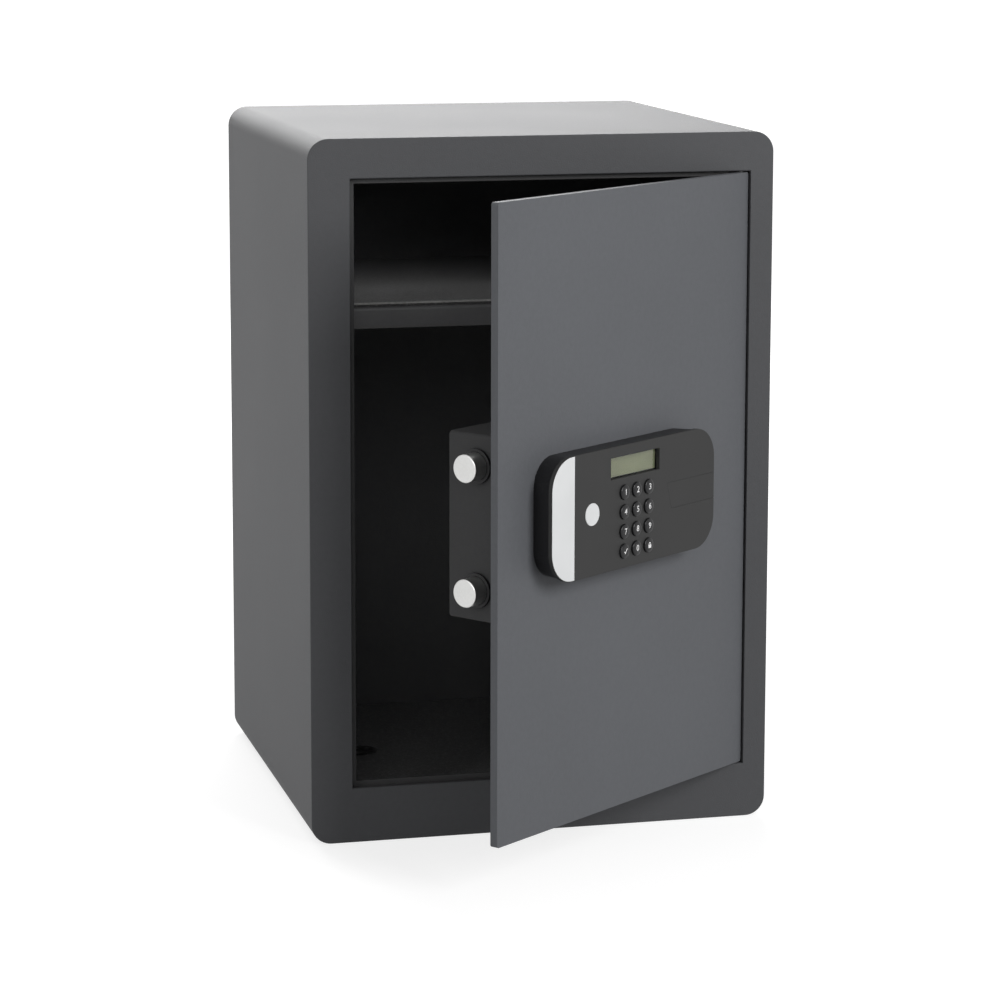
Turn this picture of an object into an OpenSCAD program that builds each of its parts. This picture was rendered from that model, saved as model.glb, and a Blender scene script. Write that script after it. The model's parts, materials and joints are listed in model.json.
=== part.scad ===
// Motorised electronic safe with a flush door, two round bolts, a shelf and a keypad panel.
// The origin is the centre of the underside, the front faces -Y and Z points up.
// Door pieces are written as they lie with the door closed, and on_door() swings them open.

/* [Cabinet] */
// Width of the cabinet
cabinet_w = 350; // [320:5:420]
// Depth of the cabinet without the keypad
cabinet_d = 340; // [300:5:420]
// Height of the cabinet
cabinet_h = 520; // [480:5:600]
// Thickness of the wrapped body sheet
wall_t = 3; // [2:0.5:4]
// Outer radius of the long edges of the wrap
corner_r = 15; // [8:0.5:20]
// Thickness of the rear wall
back_t = 3; // [2:0.5:5]

/* [Front frame] */
// Thickness of the face plate
frame_t = 2; // [1.5:0.25:2.25]
// Face width on the latch side
frame_left = 31; // [28:0.5:40]
// Face width on the hinge side
frame_right = 17.5; // [16:0.5:30]
// Face height over the door
frame_top = 29; // [24:0.5:40]
// Face height under the door
frame_bottom = 41; // [30:0.5:50]
// Thickness of the jamb round the opening
jamb_t = 2; // [1.5:0.25:3]
// Thickness of the lip that the door closes against
stop_t = 2; // [1.5:0.25:3]
// How far the stop lip stands into the opening
stop_lip = 4; // [3:0.25:4.5]
// Gap between the closed door and the stop lip
stop_gap = 0.5; // [0.2:0.1:1]
// How far the jamb runs on behind the stop lip
jamb_tail = 1; // [0.5:0.5:4]
// Length of stop lip left away beside the hinge
stop_relief = 8; // [7:0.5:14]

/* [Door] */
// Thickness of the door plate
door_t = 6; // [5:0.5:8]
// Gap round the door on the latch side, top and bottom
door_gap = 1.2; // [1:0.1:2]
// Gap beside the closed door on the hinge side
hinge_gap = 3.4; // [3.2:0.1:5]
// Radius of the door's corners
door_corner_r = 2; // [1:0.5:6]
// How far the door stands open at rest, in degrees
door_open = 37.5; // [0:0.5:90]

/* [Hinge] */
// Diameter of the hinge pins
pin_d = 5; // [4:0.5:5.5]
// Length of each pin held in the door
pin_seat = 24; // [12:1:40]
// Length of each pin standing out of the door
pin_reach = 9; // [6:0.5:11]
// Pin axis behind the front face
pin_back = 5.2; // [5:0.1:5.4]
// Pin axis in from the door's hinge edge
pin_edge = 3.2; // [3:0.1:3.4]
// Radial clearance of a pin in its bearing
pin_clear = 0.05; // [0.02:0.01:0.1]
// Depth of the bearing blocks behind the face plate
bearing_d = 12; // [9:0.5:20]
// Height of the bearing blocks
bearing_h = 12; // [11:0.5:20]
// Width of the bearing blocks
bearing_w = 13.5; // [11:0.5:16]
// Outer diameter of the thrust washer under the door
washer_d = 9; // [7:0.5:10]

/* [Lock case] */
// Lock case in from the door's free edge
case_in = 21.5; // [20:0.5:30]
// Width of the lock case
case_w = 198; // [190:1:220]
// Height of the lock case
case_h = 132; // [126:1:150]
// Depth of the lock case
case_d = 54; // [50:0.5:70]
// Sheet thickness of the lock case
case_t = 1.5; // [1:0.25:2]
// Bend radius of the lock case
case_r = 3; // [2:0.5:6]
// Centre of the lock case under the centre of the keypad
case_drop = 7.5; // [0:0.5:10]
// Height of the fixing tabs of the lock case
tab_h = 12; // [10:0.5:16]
// Width of the fixing tabs
tab_w = 22; // [14:1:40]
// Fixing tabs in from the ends of the lock case
tab_in = 34; // [24:1:60]

/* [Bolts] */
// Diameter of the bolts
bolt_d = 20; // [16:0.5:22]
// Height between the two bolt axes
bolt_pitch = 87.5; // [80:0.5:95]
// Bolt axis behind the door plate
bolt_depth = 28.9; // [26:0.1:32]
// Drawn-back bolt tip in from the door's free edge
bolt_in = 6.8; // [6.5:0.1:12]
// Travel of the bolts
bolt_travel = 18; // [12:0.5:18.5]
// Chamfer on the bolt tip
bolt_chamfer = 0.6; // [0.4:0.1:2]
// Diameter of the riveted neck of a bolt
neck_d = 10; // [8:0.5:12]
// Diameter of the rivet head on a bolt
rivet_d = 14; // [13:0.5:16]
// Height of the rivet head
rivet_t = 3; // [2:0.5:4]
// Radial clearance of a bolt in its bush
bolt_clear = 0.05; // [0.02:0.01:0.1]
// Flange diameter of the bolt bushes
bush_flange_d = 25; // [24:0.5:30]
// Flange thickness of the bolt bushes
bush_flange_t = 2.5; // [1:0.5:4]
// Wall of the bush's sleeve
bush_wall = 1.5; // [1:0.25:2]
// Length of the bush inside the case wall
bush_l = 12; // [8:0.5:12.5]
// Thickness of the bar that joins the bolts
bar_t = 4; // [3:0.5:5]
// Width of the bar that joins the bolts
bar_w = 24; // [18:0.5:26]
// Bar face behind the drawn-back bolt tips
bar_back = 47.7; // [47:0.1:52]
// Length of bar past each bolt axis
bar_end = 13.5; // [10:0.5:15]
// Corner radius of the bar
bar_r = 3; // [1:0.5:5]

/* [Bolt drive] */
// Module of the rack and the drive gear
gear_module = 1; // [0.9:0.05:1.1]
// Teeth on the drive gear
gear_teeth = 16; // [15:1:18]
// Pressure angle of the teeth
pressure_angle = 20; // [18:0.5:25]
// Play between the teeth
backlash = 0.12; // [0.08:0.02:0.3]
// Face width of the drive gear
gear_w = 9; // [6:0.5:10]
// Diameter of the drive shaft
shaft_d = 6; // [4:0.5:7]
// Radial clearance of the drive shaft
shaft_clear = 0.05; // [0.02:0.01:0.1]
// Length of drive shaft past the rack
shaft_over = 1.5; // [0.5:0.5:3]
// Diameter of the drive gear's hub
hub_d = 11; // [9:0.5:12]
// Drive gear axis from the bolt bar
gear_from_bar = 24; // [22:0.5:30]
// Width of the rack bar
rack_w = 10; // [8:0.5:12]
// Height of the rack bar under its teeth
rack_h = 6; // [5:0.5:8]
// Underside of the rack bar below the centre of the lock case
rack_drop = 9.5; // [8:0.5:12]
// Sliding clearance of the rack bar in its guides
rack_clear = 0.2; // [0.1:0.05:0.4]
// Rack's tongue in the bar, in from its upper and lower faces
tongue_in = 1; // [0.5:0.25:1.5]
// Length of rack past the pin that the cam pushes
rack_tail = 1; // [0.5:0.5:3]
// Floor and wall thickness of the rack guides
guide_wall = 3.5; // [3:0.5:6]
// Thickness of the guides' side wall towards the door
guide_rail = 2; // [1.5:0.25:2.5]
// Length of the guide under the drive gear
guide_l = 28; // [16:1:32]
// Length of the guide beside the emergency lock
guide_far_l = 16; // [10:1:18]
// Height of the guides' side walls beside the rack bar
guide_lip = 4; // [3:0.5:5]
// Thickness of the mounting plate behind the door
plate_t = 3; // [2:0.5:4]
// Gap between the mounting plate's end and the lock case
plate_gap = 1; // [0.5:0.25:2]
// Gap over and under the mounting plate
plate_gap_z = 3; // [1:0.5:5]
// Corner radius of the mounting plate
plate_r = 4; // [2:0.5:8]
// Room round a panel screw's head in the mounting plate
head_room = 1; // [0.5:0.25:2]
// Gearbox width
gearbox_w = 36; // [30:1:40]
// Gearbox height
gearbox_h = 38; // [34:1:42]
// Gearbox depth
gearbox_d = 18; // [14:0.5:19]
// Gearbox wall behind the shaft's end
gearbox_wall = 3; // [2:0.5:4]
// Diameter of the gearbox's boss round the shaft
boss_d = 12; // [9:0.5:14]
// Height of the gearbox's boss
boss_t = 1; // [0.5:0.25:1.5]
// Diameter of the motor
motor_d = 20; // [16:0.5:20]
// Length of the motor
motor_l = 28; // [20:1:32]
// Length of the motor's rear bearing
motor_nose = 2; // [1:0.5:3]

/* [Emergency lock] */
// Diameter of the lock's housing
lock_d = 20; // [18:0.5:22]
// Diameter of the lock's front flange
lock_flange_d = 24; // [23:0.5:28]
// Thickness of the lock's front flange
lock_flange_t = 2; // [1.5:0.25:2.5]
// Diameter of the barrel
barrel_d = 12; // [10:0.5:14]
// Radial clearance of the barrel
barrel_clear = 0.05; // [0.02:0.01:0.1]
// Width of the keyway
keyway_w = 1.6; // [1:0.1:2]
// Height of the keyway
keyway_h = 7.2; // [5:0.2:8]
// Depth of the keyway
keyway_l = 14; // [10:1:18]
// Length of housing behind the mounting plate
lock_tail = 11; // [8:0.5:11.5]
// Width across the flats of the lock's nut
nut_flats = 26; // [24:1:30]
// Thickness of the lock's nut
nut_t = 5; // [3:0.5:7]
// Distance from the barrel axis to the cam's end
cam_reach = 21; // [19:0.5:22]
// Width of the cam
cam_w = 8; // [6.5:0.5:9]
// Thickness of the cam
cam_t = 3; // [2:0.5:3.5]
// Diameter of the cam's hub
cam_hub_d = 12; // [10:0.5:13]
// Angle of the cam above level at rest, in degrees
cam_tilt = 10; // [5:1:15]
// Square left standing behind the cam
cam_tail = 1; // [0.5:0.5:2]
// Side of the square that turns the cam
cam_square = 6; // [5:0.5:6.5]
// Turn of the emergency key, in degrees
key_turn = 90; // [60:5:90]
// Diameter of the pin that the cam pushes
cam_pin_d = 6; // [4:0.5:6]

/* [Keypad panel] */
// Width of the keypad panel
panel_w = 193.5; // [185:0.5:200]
// Height of the keypad panel
panel_h = 88; // [86:0.5:100]
// How far the panel stands in front of the door
panel_d = 20; // [20:0.5:26]
// Corner radius of the panel
panel_r = 23; // [12:0.5:26]
// Panel in from the door's free edge
panel_in = 34.5; // [30:0.5:40]
// Height of the panel's centre above the base
panel_z = 267.5; // [250:0.5:285]
// Thickness of the fascia
fascia_t = 3; // [3:0.25:4]
// Wall of the moulded panel body
base_wall = 2.5; // [2:0.25:3]
// Draft of the body's ends towards the door
base_draft = 4.5; // [0:0.5:5]
// Body set in under the fascia's edge
base_in = 0.6; // [0.3:0.1:1.5]
// Corner radius that the body loses towards the door
base_round = 1; // [0:0.25:3]
// Width of the bright trim at the panel's end
trim_w = 26; // [20:0.5:30]
// Thickness of the trim, let into the fascia
trim_t = 1; // [0.6:0.1:1.5]
// Fascia left round the trim's outer edge
trim_rim = 0.4; // [0.2:0.1:0.8]
// Seam between trim and fascia
seam = 0.2; // [0.1:0.05:0.4]
// Centre of the badge disc from the panel's end
badge_in = 46; // [40:0.5:52]
// Diameter of the badge disc
badge_d = 16; // [12:0.5:18]
// Thickness of the badge disc
badge_t = 1.2; // [0.8:0.1:1.8]
// Depth of the disc's seat
badge_seat = 0.8; // [0.5:0.1:1.2]
// Width of the cover over the emergency lock
cover_w = 58.5; // [50:0.5:60]
// Height of the cover over the emergency lock
cover_h = 19; // [18:0.5:24]
// How far the cover's left edge slants
cover_slant = 5.5; // [0:0.5:7]
// Thickness of the cover
cover_t = 1.6; // [1.2:0.1:1.8]
// Width of the tongues that hold the cover
cover_tongue = 1; // [0.6:0.1:1.5]
// Sliding clearance of the cover
cover_clear = 0.1; // [0.05:0.05:0.2]
// Centre of the emergency lock from the panel's end
lock_in = 168; // [163:0.5:170]
// Diameter of the hole over the emergency lock
lock_window = 16; // [14:0.5:18]
// Diameter of the panel's screw posts
post_d = 8; // [7:0.5:9]
// Screw posts in from the panel's ends
post_in = 16; // [15:0.5:18]
// Height between the screw posts
post_pitch = 55; // [50:0.5:60]
// Length of the panel's screw posts
post_l = 7.5; // [6:0.5:9]
// Closed end of a screw post
post_end = 1; // [0.5:0.25:2]
// Diameter of the panel's screws
screw_d = 3; // [2.5:0.5:4]

/* [Keys] */
// Diameter of a key
key_d = 10.4; // [10:0.1:12]
// Gap round a key
key_gap = 0.2; // [0.15:0.05:0.4]
// Spacing of the keys across
key_pitch_x = 14.4; // [13.8:0.1:16]
// Spacing of the keys up and down
key_pitch_z = 14.1; // [13.8:0.1:14.6]
// Middle column of keys from the panel's end
keys_in = 97.5; // [94:0.5:102]
// Top row of keys above the panel's centre
keys_up = 10.5; // [8:0.5:11]
// How far a key stands in front of the fascia
key_rise = 2; // [1:0.25:3]
// Height of the crown on a key
key_crown = 0.8; // [0.4:0.1:1]
// Width of the flange behind a key
key_flange = 1; // [0.6:0.1:1.2]
// Thickness of the flange behind a key
key_flange_t = 0.8; // [0.6:0.1:1]
// Play in front of a key's flange
key_play = 0.15; // [0.1:0.05:0.3]
// Travel of a key
key_travel = 1; // [0.6:0.1:1.4]
// Diameter of the stem that presses the switch
stem_d = 5; // [4:0.5:6]

/* [Display] */
// Width of the display window
lcd_w = 58; // [50:0.5:60]
// Height of the display window
lcd_h = 15.5; // [12:0.5:16]
// Centre of the window from the panel's end
lcd_in = 96.5; // [94:0.5:100]
// Centre of the window above the panel's centre
lcd_up = 28.7; // [28:0.1:30]
// Rim of the window pane behind the fascia
lcd_rim = 1.7; // [1:0.1:2]
// Thickness of the window pane
pane_t = 1; // [0.8:0.1:1.2]

/* [Electronics] */
// Thickness of the circuit boards
board_t = 1.6; // [1.2:0.1:2]
// Width of the keypad's board
key_board_w = 72; // [70:1:76]
// Height of the keypad's board
key_board_h = 77; // [76:0.5:78]
// Keypad's board to the right of the middle key column
board_right = 1; // [0:0.5:3]
// Keypad's board below the panel's centre
board_low = 1; // [0.5:0.25:1.5]
// Gap left behind a fully pressed key
key_rest = 0.1; // [0.05:0.05:0.2]
// Diameter of the posts under the keypad's board
board_post_d = 6; // [4:0.5:6]
// Posts in from the corners of a board
board_in = 4; // [3.5:0.5:6]
// Width of the lock's control board
control_w = 58; // [52:1:62]
// Clearance between the control board and the rack's guides
control_gap = 2.2; // [1:0.1:4]
// Control board in from the hinge-side end of the lock case
control_in = 26; // [24:1:30]
// Clearance between the control board and the lock case's lower wall
control_up = 5.5; // [4:0.5:7]
// Gap between the parts on the control board
chip_gap = 8; // [6:0.5:8]
// Side of the control board's processor
chip_w = 14; // [10:1:16]
// Thickness of the processor
chip_t = 2; // [1:0.25:3]
// Width of the motor driver
driver_w = 8; // [5:0.5:9]
// Height of the motor driver on the board
driver_h = 6; // [4:0.5:8]
// Thickness of the motor driver
driver_t = 1.5; // [1:0.25:3]
// Diameter of the capacitor
capacitor_d = 8; // [5:0.5:9]
// Length of the capacitor
capacitor_l = 8; // [6:0.5:12]
// Diameter of the buzzer
buzzer_d = 9; // [7:0.5:10]
// Thickness of the buzzer
buzzer_l = 6; // [4:0.5:8]
// Wall of the cable sockets round the cable
socket_wall = 1; // [0.8:0.1:1.5]
// Height of the control board's spacers
spacer_h = 6; // [5:0.5:8]
// Diameter of the control board's spacers
spacer_d = 5; // [4:0.5:6]
// Width of the flat cable between the boards
cable_w = 12; // [8:0.5:13]
// Thickness of the flat cable
cable_t = 1.2; // [0.8:0.1:2]
// Diameter of the cable's hole through the door
cable_hole_d = 16; // [15:0.5:18]
// Cable from the hinge-side end of the lock case
cable_in = 66; // [64:0.5:67]
// Cable below the upper edge of the control board
cable_down = 3.6; // [2.6:0.2:6]
// Length of each cable socket along the cable
socket_l = 3; // [2:0.5:3.5]

/* [Battery box] */
// Diameter of a battery cell
cell_d = 14.3; // [13.5:0.1:14.5]
// Length of a battery cell
cell_l = 50; // [48:0.5:50.5]
// Diameter of a cell's raised end
nub_d = 5.4; // [4:0.1:7]
// Height of a cell's raised end
nub_l = 1; // [0.5:0.1:2]
// Extra length of the box for the contacts
contact_l = 1; // [0.5:0.25:3]
// Gap round a cell
cell_gap = 0.35; // [0.2:0.05:0.5]
// Number of cells
cells = 4; // [2:1:4]
// Wall of the battery box
box_wall = 1.5; // [1.2:0.1:2]
// Battery box in from the hinge-side end of the lock case
box_in = 13; // [10:0.5:20]
// Battery box above the bottom of the lock case
box_up = 7; // [5:0.5:10]
// How far the box's rim stands out of the case
rim_d = 3.5; // [3:0.25:5]
// Width of the box's flange outside the case
box_flange = 3; // [2:0.5:5]
// Thickness of the box's flange
box_flange_t = 0.6; // [0.4:0.1:0.65]
// Thickness of the sliding cover
lid_t = 1.6; // [1.2:0.1:2]
// How far the box's rim stands over the cover
lid_down = 1.2; // [0.9:0.1:1.5]
// Number of grip ribs on the cover
grips = 4; // [2:1:6]
// Width of the grip ribs
grip_w = 18; // [10:1:30]
// Spacing of the grip ribs
grip_pitch = 3; // [2:0.5:4]
// Thickness and height of a grip rib
grip_t = 0.9; // [0.5:0.1:1.2]
// Grip ribs in from the cover's end
grip_in = 5; // [3:0.5:8]
// Depth of the grooves that hold the cover
groove_d = 0.8; // [0.5:0.1:0.9]
// Sliding clearance of the cover
lid_clear = 0.1; // [0.05:0.05:0.2]

/* [Set button] */
// Diameter of the red button
set_d = 6; // [5:0.5:8]
// Radial clearance of the red button
set_clear = 0.1; // [0.05:0.05:0.2]
// How far the button stands out of its switch
set_rise = 2.5; // [2:0.25:4]
// Outer diameter of the switch's collar
set_collar_d = 14; // [12:0.5:16]
// Thickness of the switch's collar
set_collar_t = 1.5; // [1:0.25:2]
// Diameter of the switch's body
set_body_d = 11; // [10:0.5:12]
// Length of the switch's body
set_body_l = 12; // [10:0.5:16]
// Floor of the switch's body
set_floor = 1.5; // [1:0.25:2.5]
// Room behind the button inside the switch
set_room = 2.5; // [2:0.25:4]
// Button in from the hinge-side end of the lock case
set_in = 92; // [86:1:100]
// Button below the top of the lock case
set_down = 26; // [20:1:30]

/* [Shelf] */
// Height of the shelf's upper face above the base
shelf_z = 391.5; // [350:0.5:430]
// Thickness of the shelf's sheet
shelf_t = 1.5; // [1:0.25:2]
// Height of the shelf's lips
shelf_lip = 16; // [12:0.5:24]
// Outer bend radius of the shelf's lips
shelf_r = 3; // [2:0.5:5]
// Shelf's front edge behind the front face
shelf_front = 50; // [30:1:80]
// Shelf's rear edge in front of the rear wall
shelf_rear = 7; // [4:1:20]
// Gap between the shelf and each side wall
shelf_gap = 2; // [1.75:0.25:4]
// Thickness of the felt on shelf and floor
mat_t = 3; // [2:0.25:4]
// Felt in from the edges of the shelf
mat_in = 2; // [1:0.5:5]
// Width of the angles under the shelf
rail_w = 14; // [8:0.5:20]
// Height of the angles under the shelf
rail_h = 20; // [12:1:30]
// Sheet thickness of the angles
rail_t = 1.5; // [1:0.25:1.75]
// Angles in from the shelf's front and rear edges
rail_in = 10; // [5:1:30]

/* [Floor] */
// Height of the raised floor above the base
floor_z = 15; // [12:0.5:20]
// Sheet thickness of the raised floor
floor_t = 2; // [1.5:0.25:3]
// Gap round the raised floor
floor_gap = 0.5; // [0.3:0.1:1.5]
// Raised floor's front edge behind the front face
floor_front = 5; // [3:0.5:12]
// Legs of the raised floor in from its side edges
floor_leg_in = 13; // [12:0.5:30]

/* [Anchors] */
// Diameter of the anchor holes
anchor_d = 12; // [8:0.5:14]
// Distance between the two anchor holes
anchor_pitch = 200; // [120:5:240]
// Floor anchors behind the centre of the base
anchor_back = 20; // [0:5:80]
// Height of the wall anchors above the base
anchor_z = 300; // [200:5:360]
// Extra hole diameter in the raised floor
anchor_play = 1; // [0.5:0.5:3]
// Diameter of the holes in the felt round the anchors
felt_hole_d = 28; // [24:1:36]

/* [Fasteners] */
// Diameter of the lock case's screws
case_screw_d = 4; // [3:0.5:5]
// Head diameter of the lock case's screws
case_head_d = 8; // [6:0.5:9]
// Head height of the lock case's screws
case_head_h = 2.4; // [1.5:0.1:3]
// Depth of the screws in the door plate
case_screw_l = 3.5; // [2:0.5:4]
// Space left past the end of a screw
screw_rest = 0.5; // [0.3:0.1:1]
// Head diameter of the panel's screws
panel_head_d = 6; // [5:0.5:7]
// Head height of the panel's screws
panel_head_h = 2; // [1.5:0.1:2.5]
// Clearance of screws in their holes
screw_play = 0.2; // [0.1:0.05:0.4]

/* [Hidden] */
$fn = 48;

// A cut runs this far past a face, so that it opens cleanly
over = 1;
// Small running gap between flat faces that move on each other
skim = 0.1;

// Cabinet
front_y = -cabinet_d / 2;
back_y = cabinet_d / 2;
side_x = cabinet_w / 2 - wall_t;
inner_r = corner_r - wall_t;
rear_wall_y = back_y - back_t;
open_l = -cabinet_w / 2 + frame_left;
open_r = cabinet_w / 2 - frame_right;
open_b = frame_bottom;
open_top = cabinet_h - frame_top;
frame_back = front_y + frame_t;
stop_y = front_y + door_t + stop_gap;
jamb_back = stop_y + stop_t + jamb_tail;

// Door
door_l = open_l + door_gap;
door_r = open_r - hinge_gap;
door_b = open_b + door_gap;
door_top = open_top - door_gap;
door_back = front_y + door_t;
pin_x = door_r - pin_edge;
pin_y = front_y + pin_back;
bearing_l = open_r - bearing_w;

// Lock case
case_l = door_l + case_in;
case_rt = case_l + case_w;
case_z = panel_z - case_drop;
case_b = case_z - case_h / 2;
case_top = case_z + case_h / 2;
case_back = door_back + case_d;
case_cx = (case_l + case_rt) / 2;
tab_xs = [case_l + tab_in, case_rt - tab_in];
tab_hole = tab_h / 2;

// Bolts
bolt_y = door_back + bolt_depth;
bolt_tip = door_l + bolt_in;
bar_x = bolt_tip + bar_back;
bolt_zs = [case_z - bolt_pitch / 2, case_z + bolt_pitch / 2];
bush_body_d = bolt_d + 2 * bolt_clear + 2 * bush_wall;

// Bolt drive
tooth_pitch = PI * gear_module;
gear_r = gear_module * gear_teeth / 2;
gear_base_r = gear_r * cos(pressure_angle);
addendum = gear_module;
rack_addendum = 0.8 * gear_module;
dedendum = 1.25 * gear_module;
gear_tip_r = gear_r + addendum;
gear_root_r = gear_r - dedendum;
rack_b = case_z - rack_drop;
rack_pitch_z = rack_b + rack_h + dedendum;
gear_x = bar_x + bar_t + gear_from_bar;
gear_z = rack_pitch_z + gear_r;
rack_teeth = ceil((bolt_travel + 2 * gear_tip_r) / tooth_pitch);
plate_y = door_back + plate_t;
gearbox_y = plate_y + gearbox_d;
gearbox_b = rack_b;
shaft_y = plate_y + gearbox_wall;
shaft_end = bolt_y + rack_w / 2 + shaft_over;

// Keypad panel
panel_l = door_l + panel_in;
panel_r_end = panel_l + panel_w;
panel_cx = panel_l + panel_w / 2;
panel_y = front_y - panel_d;
fascia_back = panel_y + fascia_t;
base_back = front_y - base_wall;
badge_x = panel_l + badge_in;
lock_x = panel_l + lock_in;
post_xs = [panel_l + post_in, panel_r_end - post_in];
post_zs = [panel_z - post_pitch / 2, panel_z + post_pitch / 2];
post_y = base_back - post_l;
cover_l = panel_r_end - cover_w;

// Keys and display
keys_x = panel_l + keys_in;
keys_z = panel_z + keys_up;
flange_y = fascia_back + key_play;
stem_y = flange_y + key_flange_t + key_travel;
key_board_y = stem_y + key_travel + key_rest;
key_board_back = key_board_y + board_t;
lcd_x = panel_l + lcd_in;
lcd_z = panel_z + lcd_up;
board_cx = keys_x + board_right;
board_cz = panel_z - board_low;

// Emergency lock
lock_flange_y = fascia_back;
lock_back = plate_y + lock_tail;
lock_z = panel_z;
cam_y = lock_back + 2 * skim;
cam_end = key_turn - cam_tilt;
cam_drop = lock_z - (rack_b + rack_h / 2);
cam_pin_off = (cam_w / 2 + cam_pin_d / 2 + 3 * skim - cam_drop * cos(cam_end)) / sin(cam_end);
cam_pin_x = lock_x + cam_pin_off;
rack_end = cam_pin_x + cam_pin_d / 2 + rack_tail;
guide_far_x = lock_x - cam_reach - guide_far_l;

// Electronics and battery box
control_l = case_rt - control_in - control_w;
control_b = case_b + case_t + control_up;
control_h = rack_b - rack_clear - 2 * guide_wall - control_gap - control_b;
chip_l = control_l + chip_gap;
chip_b = control_b + chip_gap;
driver_l = chip_l + chip_w + chip_gap;
driver_z = chip_b + chip_w / 2;
control_y = plate_y + spacer_h;
cable_x = case_rt - cable_in;
cable_z = control_b + control_h - cable_down;
box_w = cells * (cell_d + 2 * cell_gap) + 2 * box_wall;
box_h = cell_l + 2 * cell_gap + 2 * box_wall + contact_l;
box_l = case_rt - box_in - box_w;
box_b = case_b + box_up;
rim_y = case_back + rim_d;
lid_y = rim_y - lid_down - lid_t;
cell_y = lid_y - cell_gap - cell_d / 2;
box_y = cell_y - cell_d / 2 - cell_gap - box_wall;

// Set button
set_x = case_rt - set_in;
set_z = case_top - set_down;

// Shelf and floor
shelf_y0 = front_y + shelf_front;
shelf_y1 = rear_wall_y - shelf_rear;
shelf_x = side_x - shelf_gap;
rail_z = shelf_z - shelf_lip;
floor_x = side_x - floor_gap;
floor_y0 = front_y + floor_front;
floor_y1 = rear_wall_y - floor_gap;

// Swings what lies on the closed door to where it stands at rest
module on_door() {
    translate([pin_x, pin_y, 0]) rotate([0, 0, door_open]) translate([-pin_x, -pin_y, 0])
        children();
}

// A block between two corners
module block(x0, x1, y0, y1, z0, z1) {
    translate([x0, y0, z0]) cube([x1 - x0, y1 - y0, z1 - z0]);
}

// A flat shape in X and Z, drawn out between two Y values
module along_y(y0, y1) {
    translate([0, y1, 0]) rotate([90, 0, 0]) linear_extrude(y1 - y0) children();
}

// A flat shape in Y and Z, drawn out between two X values
module along_x(x0, x1) {
    translate([x0, 0, 0]) rotate([90, 0, 90]) linear_extrude(x1 - x0) children();
}

// A round bar along Y
module rod_y(x, z, y0, y1, d) {
    translate([x, y1, z]) rotate([90, 0, 0]) cylinder(h = y1 - y0, d = d);
}

// A round bar along X
module rod_x(y, z, x0, x1, d) {
    translate([x0, y, z]) rotate([0, 90, 0]) cylinder(h = x1 - x0, d = d);
}

// A rectangle with rounded corners, centred
module rounded_rect(w, h, r) {
    square([w - 2 * r, h], center = true);
    square([w, h - 2 * r], center = true);
    for (x = [-1, 1], z = [-1, 1])
        translate([x * (w / 2 - r), z * (h / 2 - r)]) circle(r);
}

// The cabinet's outline, set in by a sheet thickness
module cabinet_outline(inset) {
    translate([0, cabinet_h / 2])
        rounded_rect(cabinet_w - 2 * inset, cabinet_h - 2 * inset, corner_r - inset);
}

// The door opening, grown by the same amount on every side
module opening_outline(grow) {
    translate([open_l - grow, open_b - grow])
        square([open_r - open_l + 2 * grow, open_top - open_b + 2 * grow]);
}

module anchor_pair(d) {
    for (x = [-1, 1]) translate([x * anchor_pitch / 2, 0]) circle(d = d);
}

module outer_wrap() {
    color("#55575b") difference() {
        along_y(frame_back, back_y) difference() {
            cabinet_outline(0);
            cabinet_outline(wall_t);
        }
        translate([0, anchor_back, -over]) linear_extrude(wall_t + 2 * over) anchor_pair(anchor_d);
    }
}

module back_panel() {
    color("#4c4e52") along_y(rear_wall_y, back_y) difference() {
        cabinet_outline(wall_t);
        translate([0, anchor_z]) anchor_pair(anchor_d);
    }
}

module front_frame() {
    color("#55575b") along_y(front_y, frame_back) difference() {
        cabinet_outline(0);
        opening_outline(0);
    }
}

// The jamb on three sides of the opening, whose lip stops the door
module door_stop_frame() {
    color("#2e2f31") difference() {
        union() {
            along_y(frame_back, jamb_back) difference() {
                opening_outline(jamb_t);
                opening_outline(0);
            }
            along_y(stop_y, stop_y + stop_t) difference() {
                opening_outline(jamb_t);
                translate([open_l + stop_lip, open_b + stop_lip])
                    square([cabinet_w, open_top - open_b - 2 * stop_lip]);
            }
        }
        block(bearing_l, open_r + jamb_t + over, frame_back - over, jamb_back + over,
            open_b - jamb_t - over, open_top + jamb_t + over);
        block(pin_x - stop_relief, open_r, stop_y - over, jamb_back + over, open_b, open_top);
    }
}

// The plain strip between the two bearing blocks on the hinge side
module hinge_jamb() {
    color("#2e2f31") block(open_r, open_r + jamb_t, frame_back, jamb_back, open_b, open_top);
}

// The floor stands on two legs inside the wrap
module floor_pan() {
    color("#2e2f31") difference() {
        union() {
            block(-floor_x, floor_x, floor_y0, floor_y1, floor_z - floor_t, floor_z);
            for (s = [-1, 1]) {
                leg_x = s * (floor_x - floor_leg_in);
                block(leg_x - floor_t / 2, leg_x + floor_t / 2, floor_y0, floor_y1,
                    wall_t, floor_z - floor_t);
            }
            block(-floor_x + floor_leg_in, floor_x - floor_leg_in, floor_y0, floor_y0 + floor_t,
                wall_t, floor_z - floor_t);
        }
        translate([0, anchor_back, 0]) linear_extrude(floor_z + over)
            anchor_pair(anchor_d + anchor_play);
    }
}

module floor_mat() {
    color("#232426") translate([0, 0, floor_z]) linear_extrude(mat_t) difference() {
        translate([-floor_x + mat_in, floor_y0 + mat_in])
            square([2 * (floor_x - mat_in), floor_y1 - floor_y0 - 2 * mat_in]);
        translate([0, anchor_back]) anchor_pair(felt_hole_d);
    }
}

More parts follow.
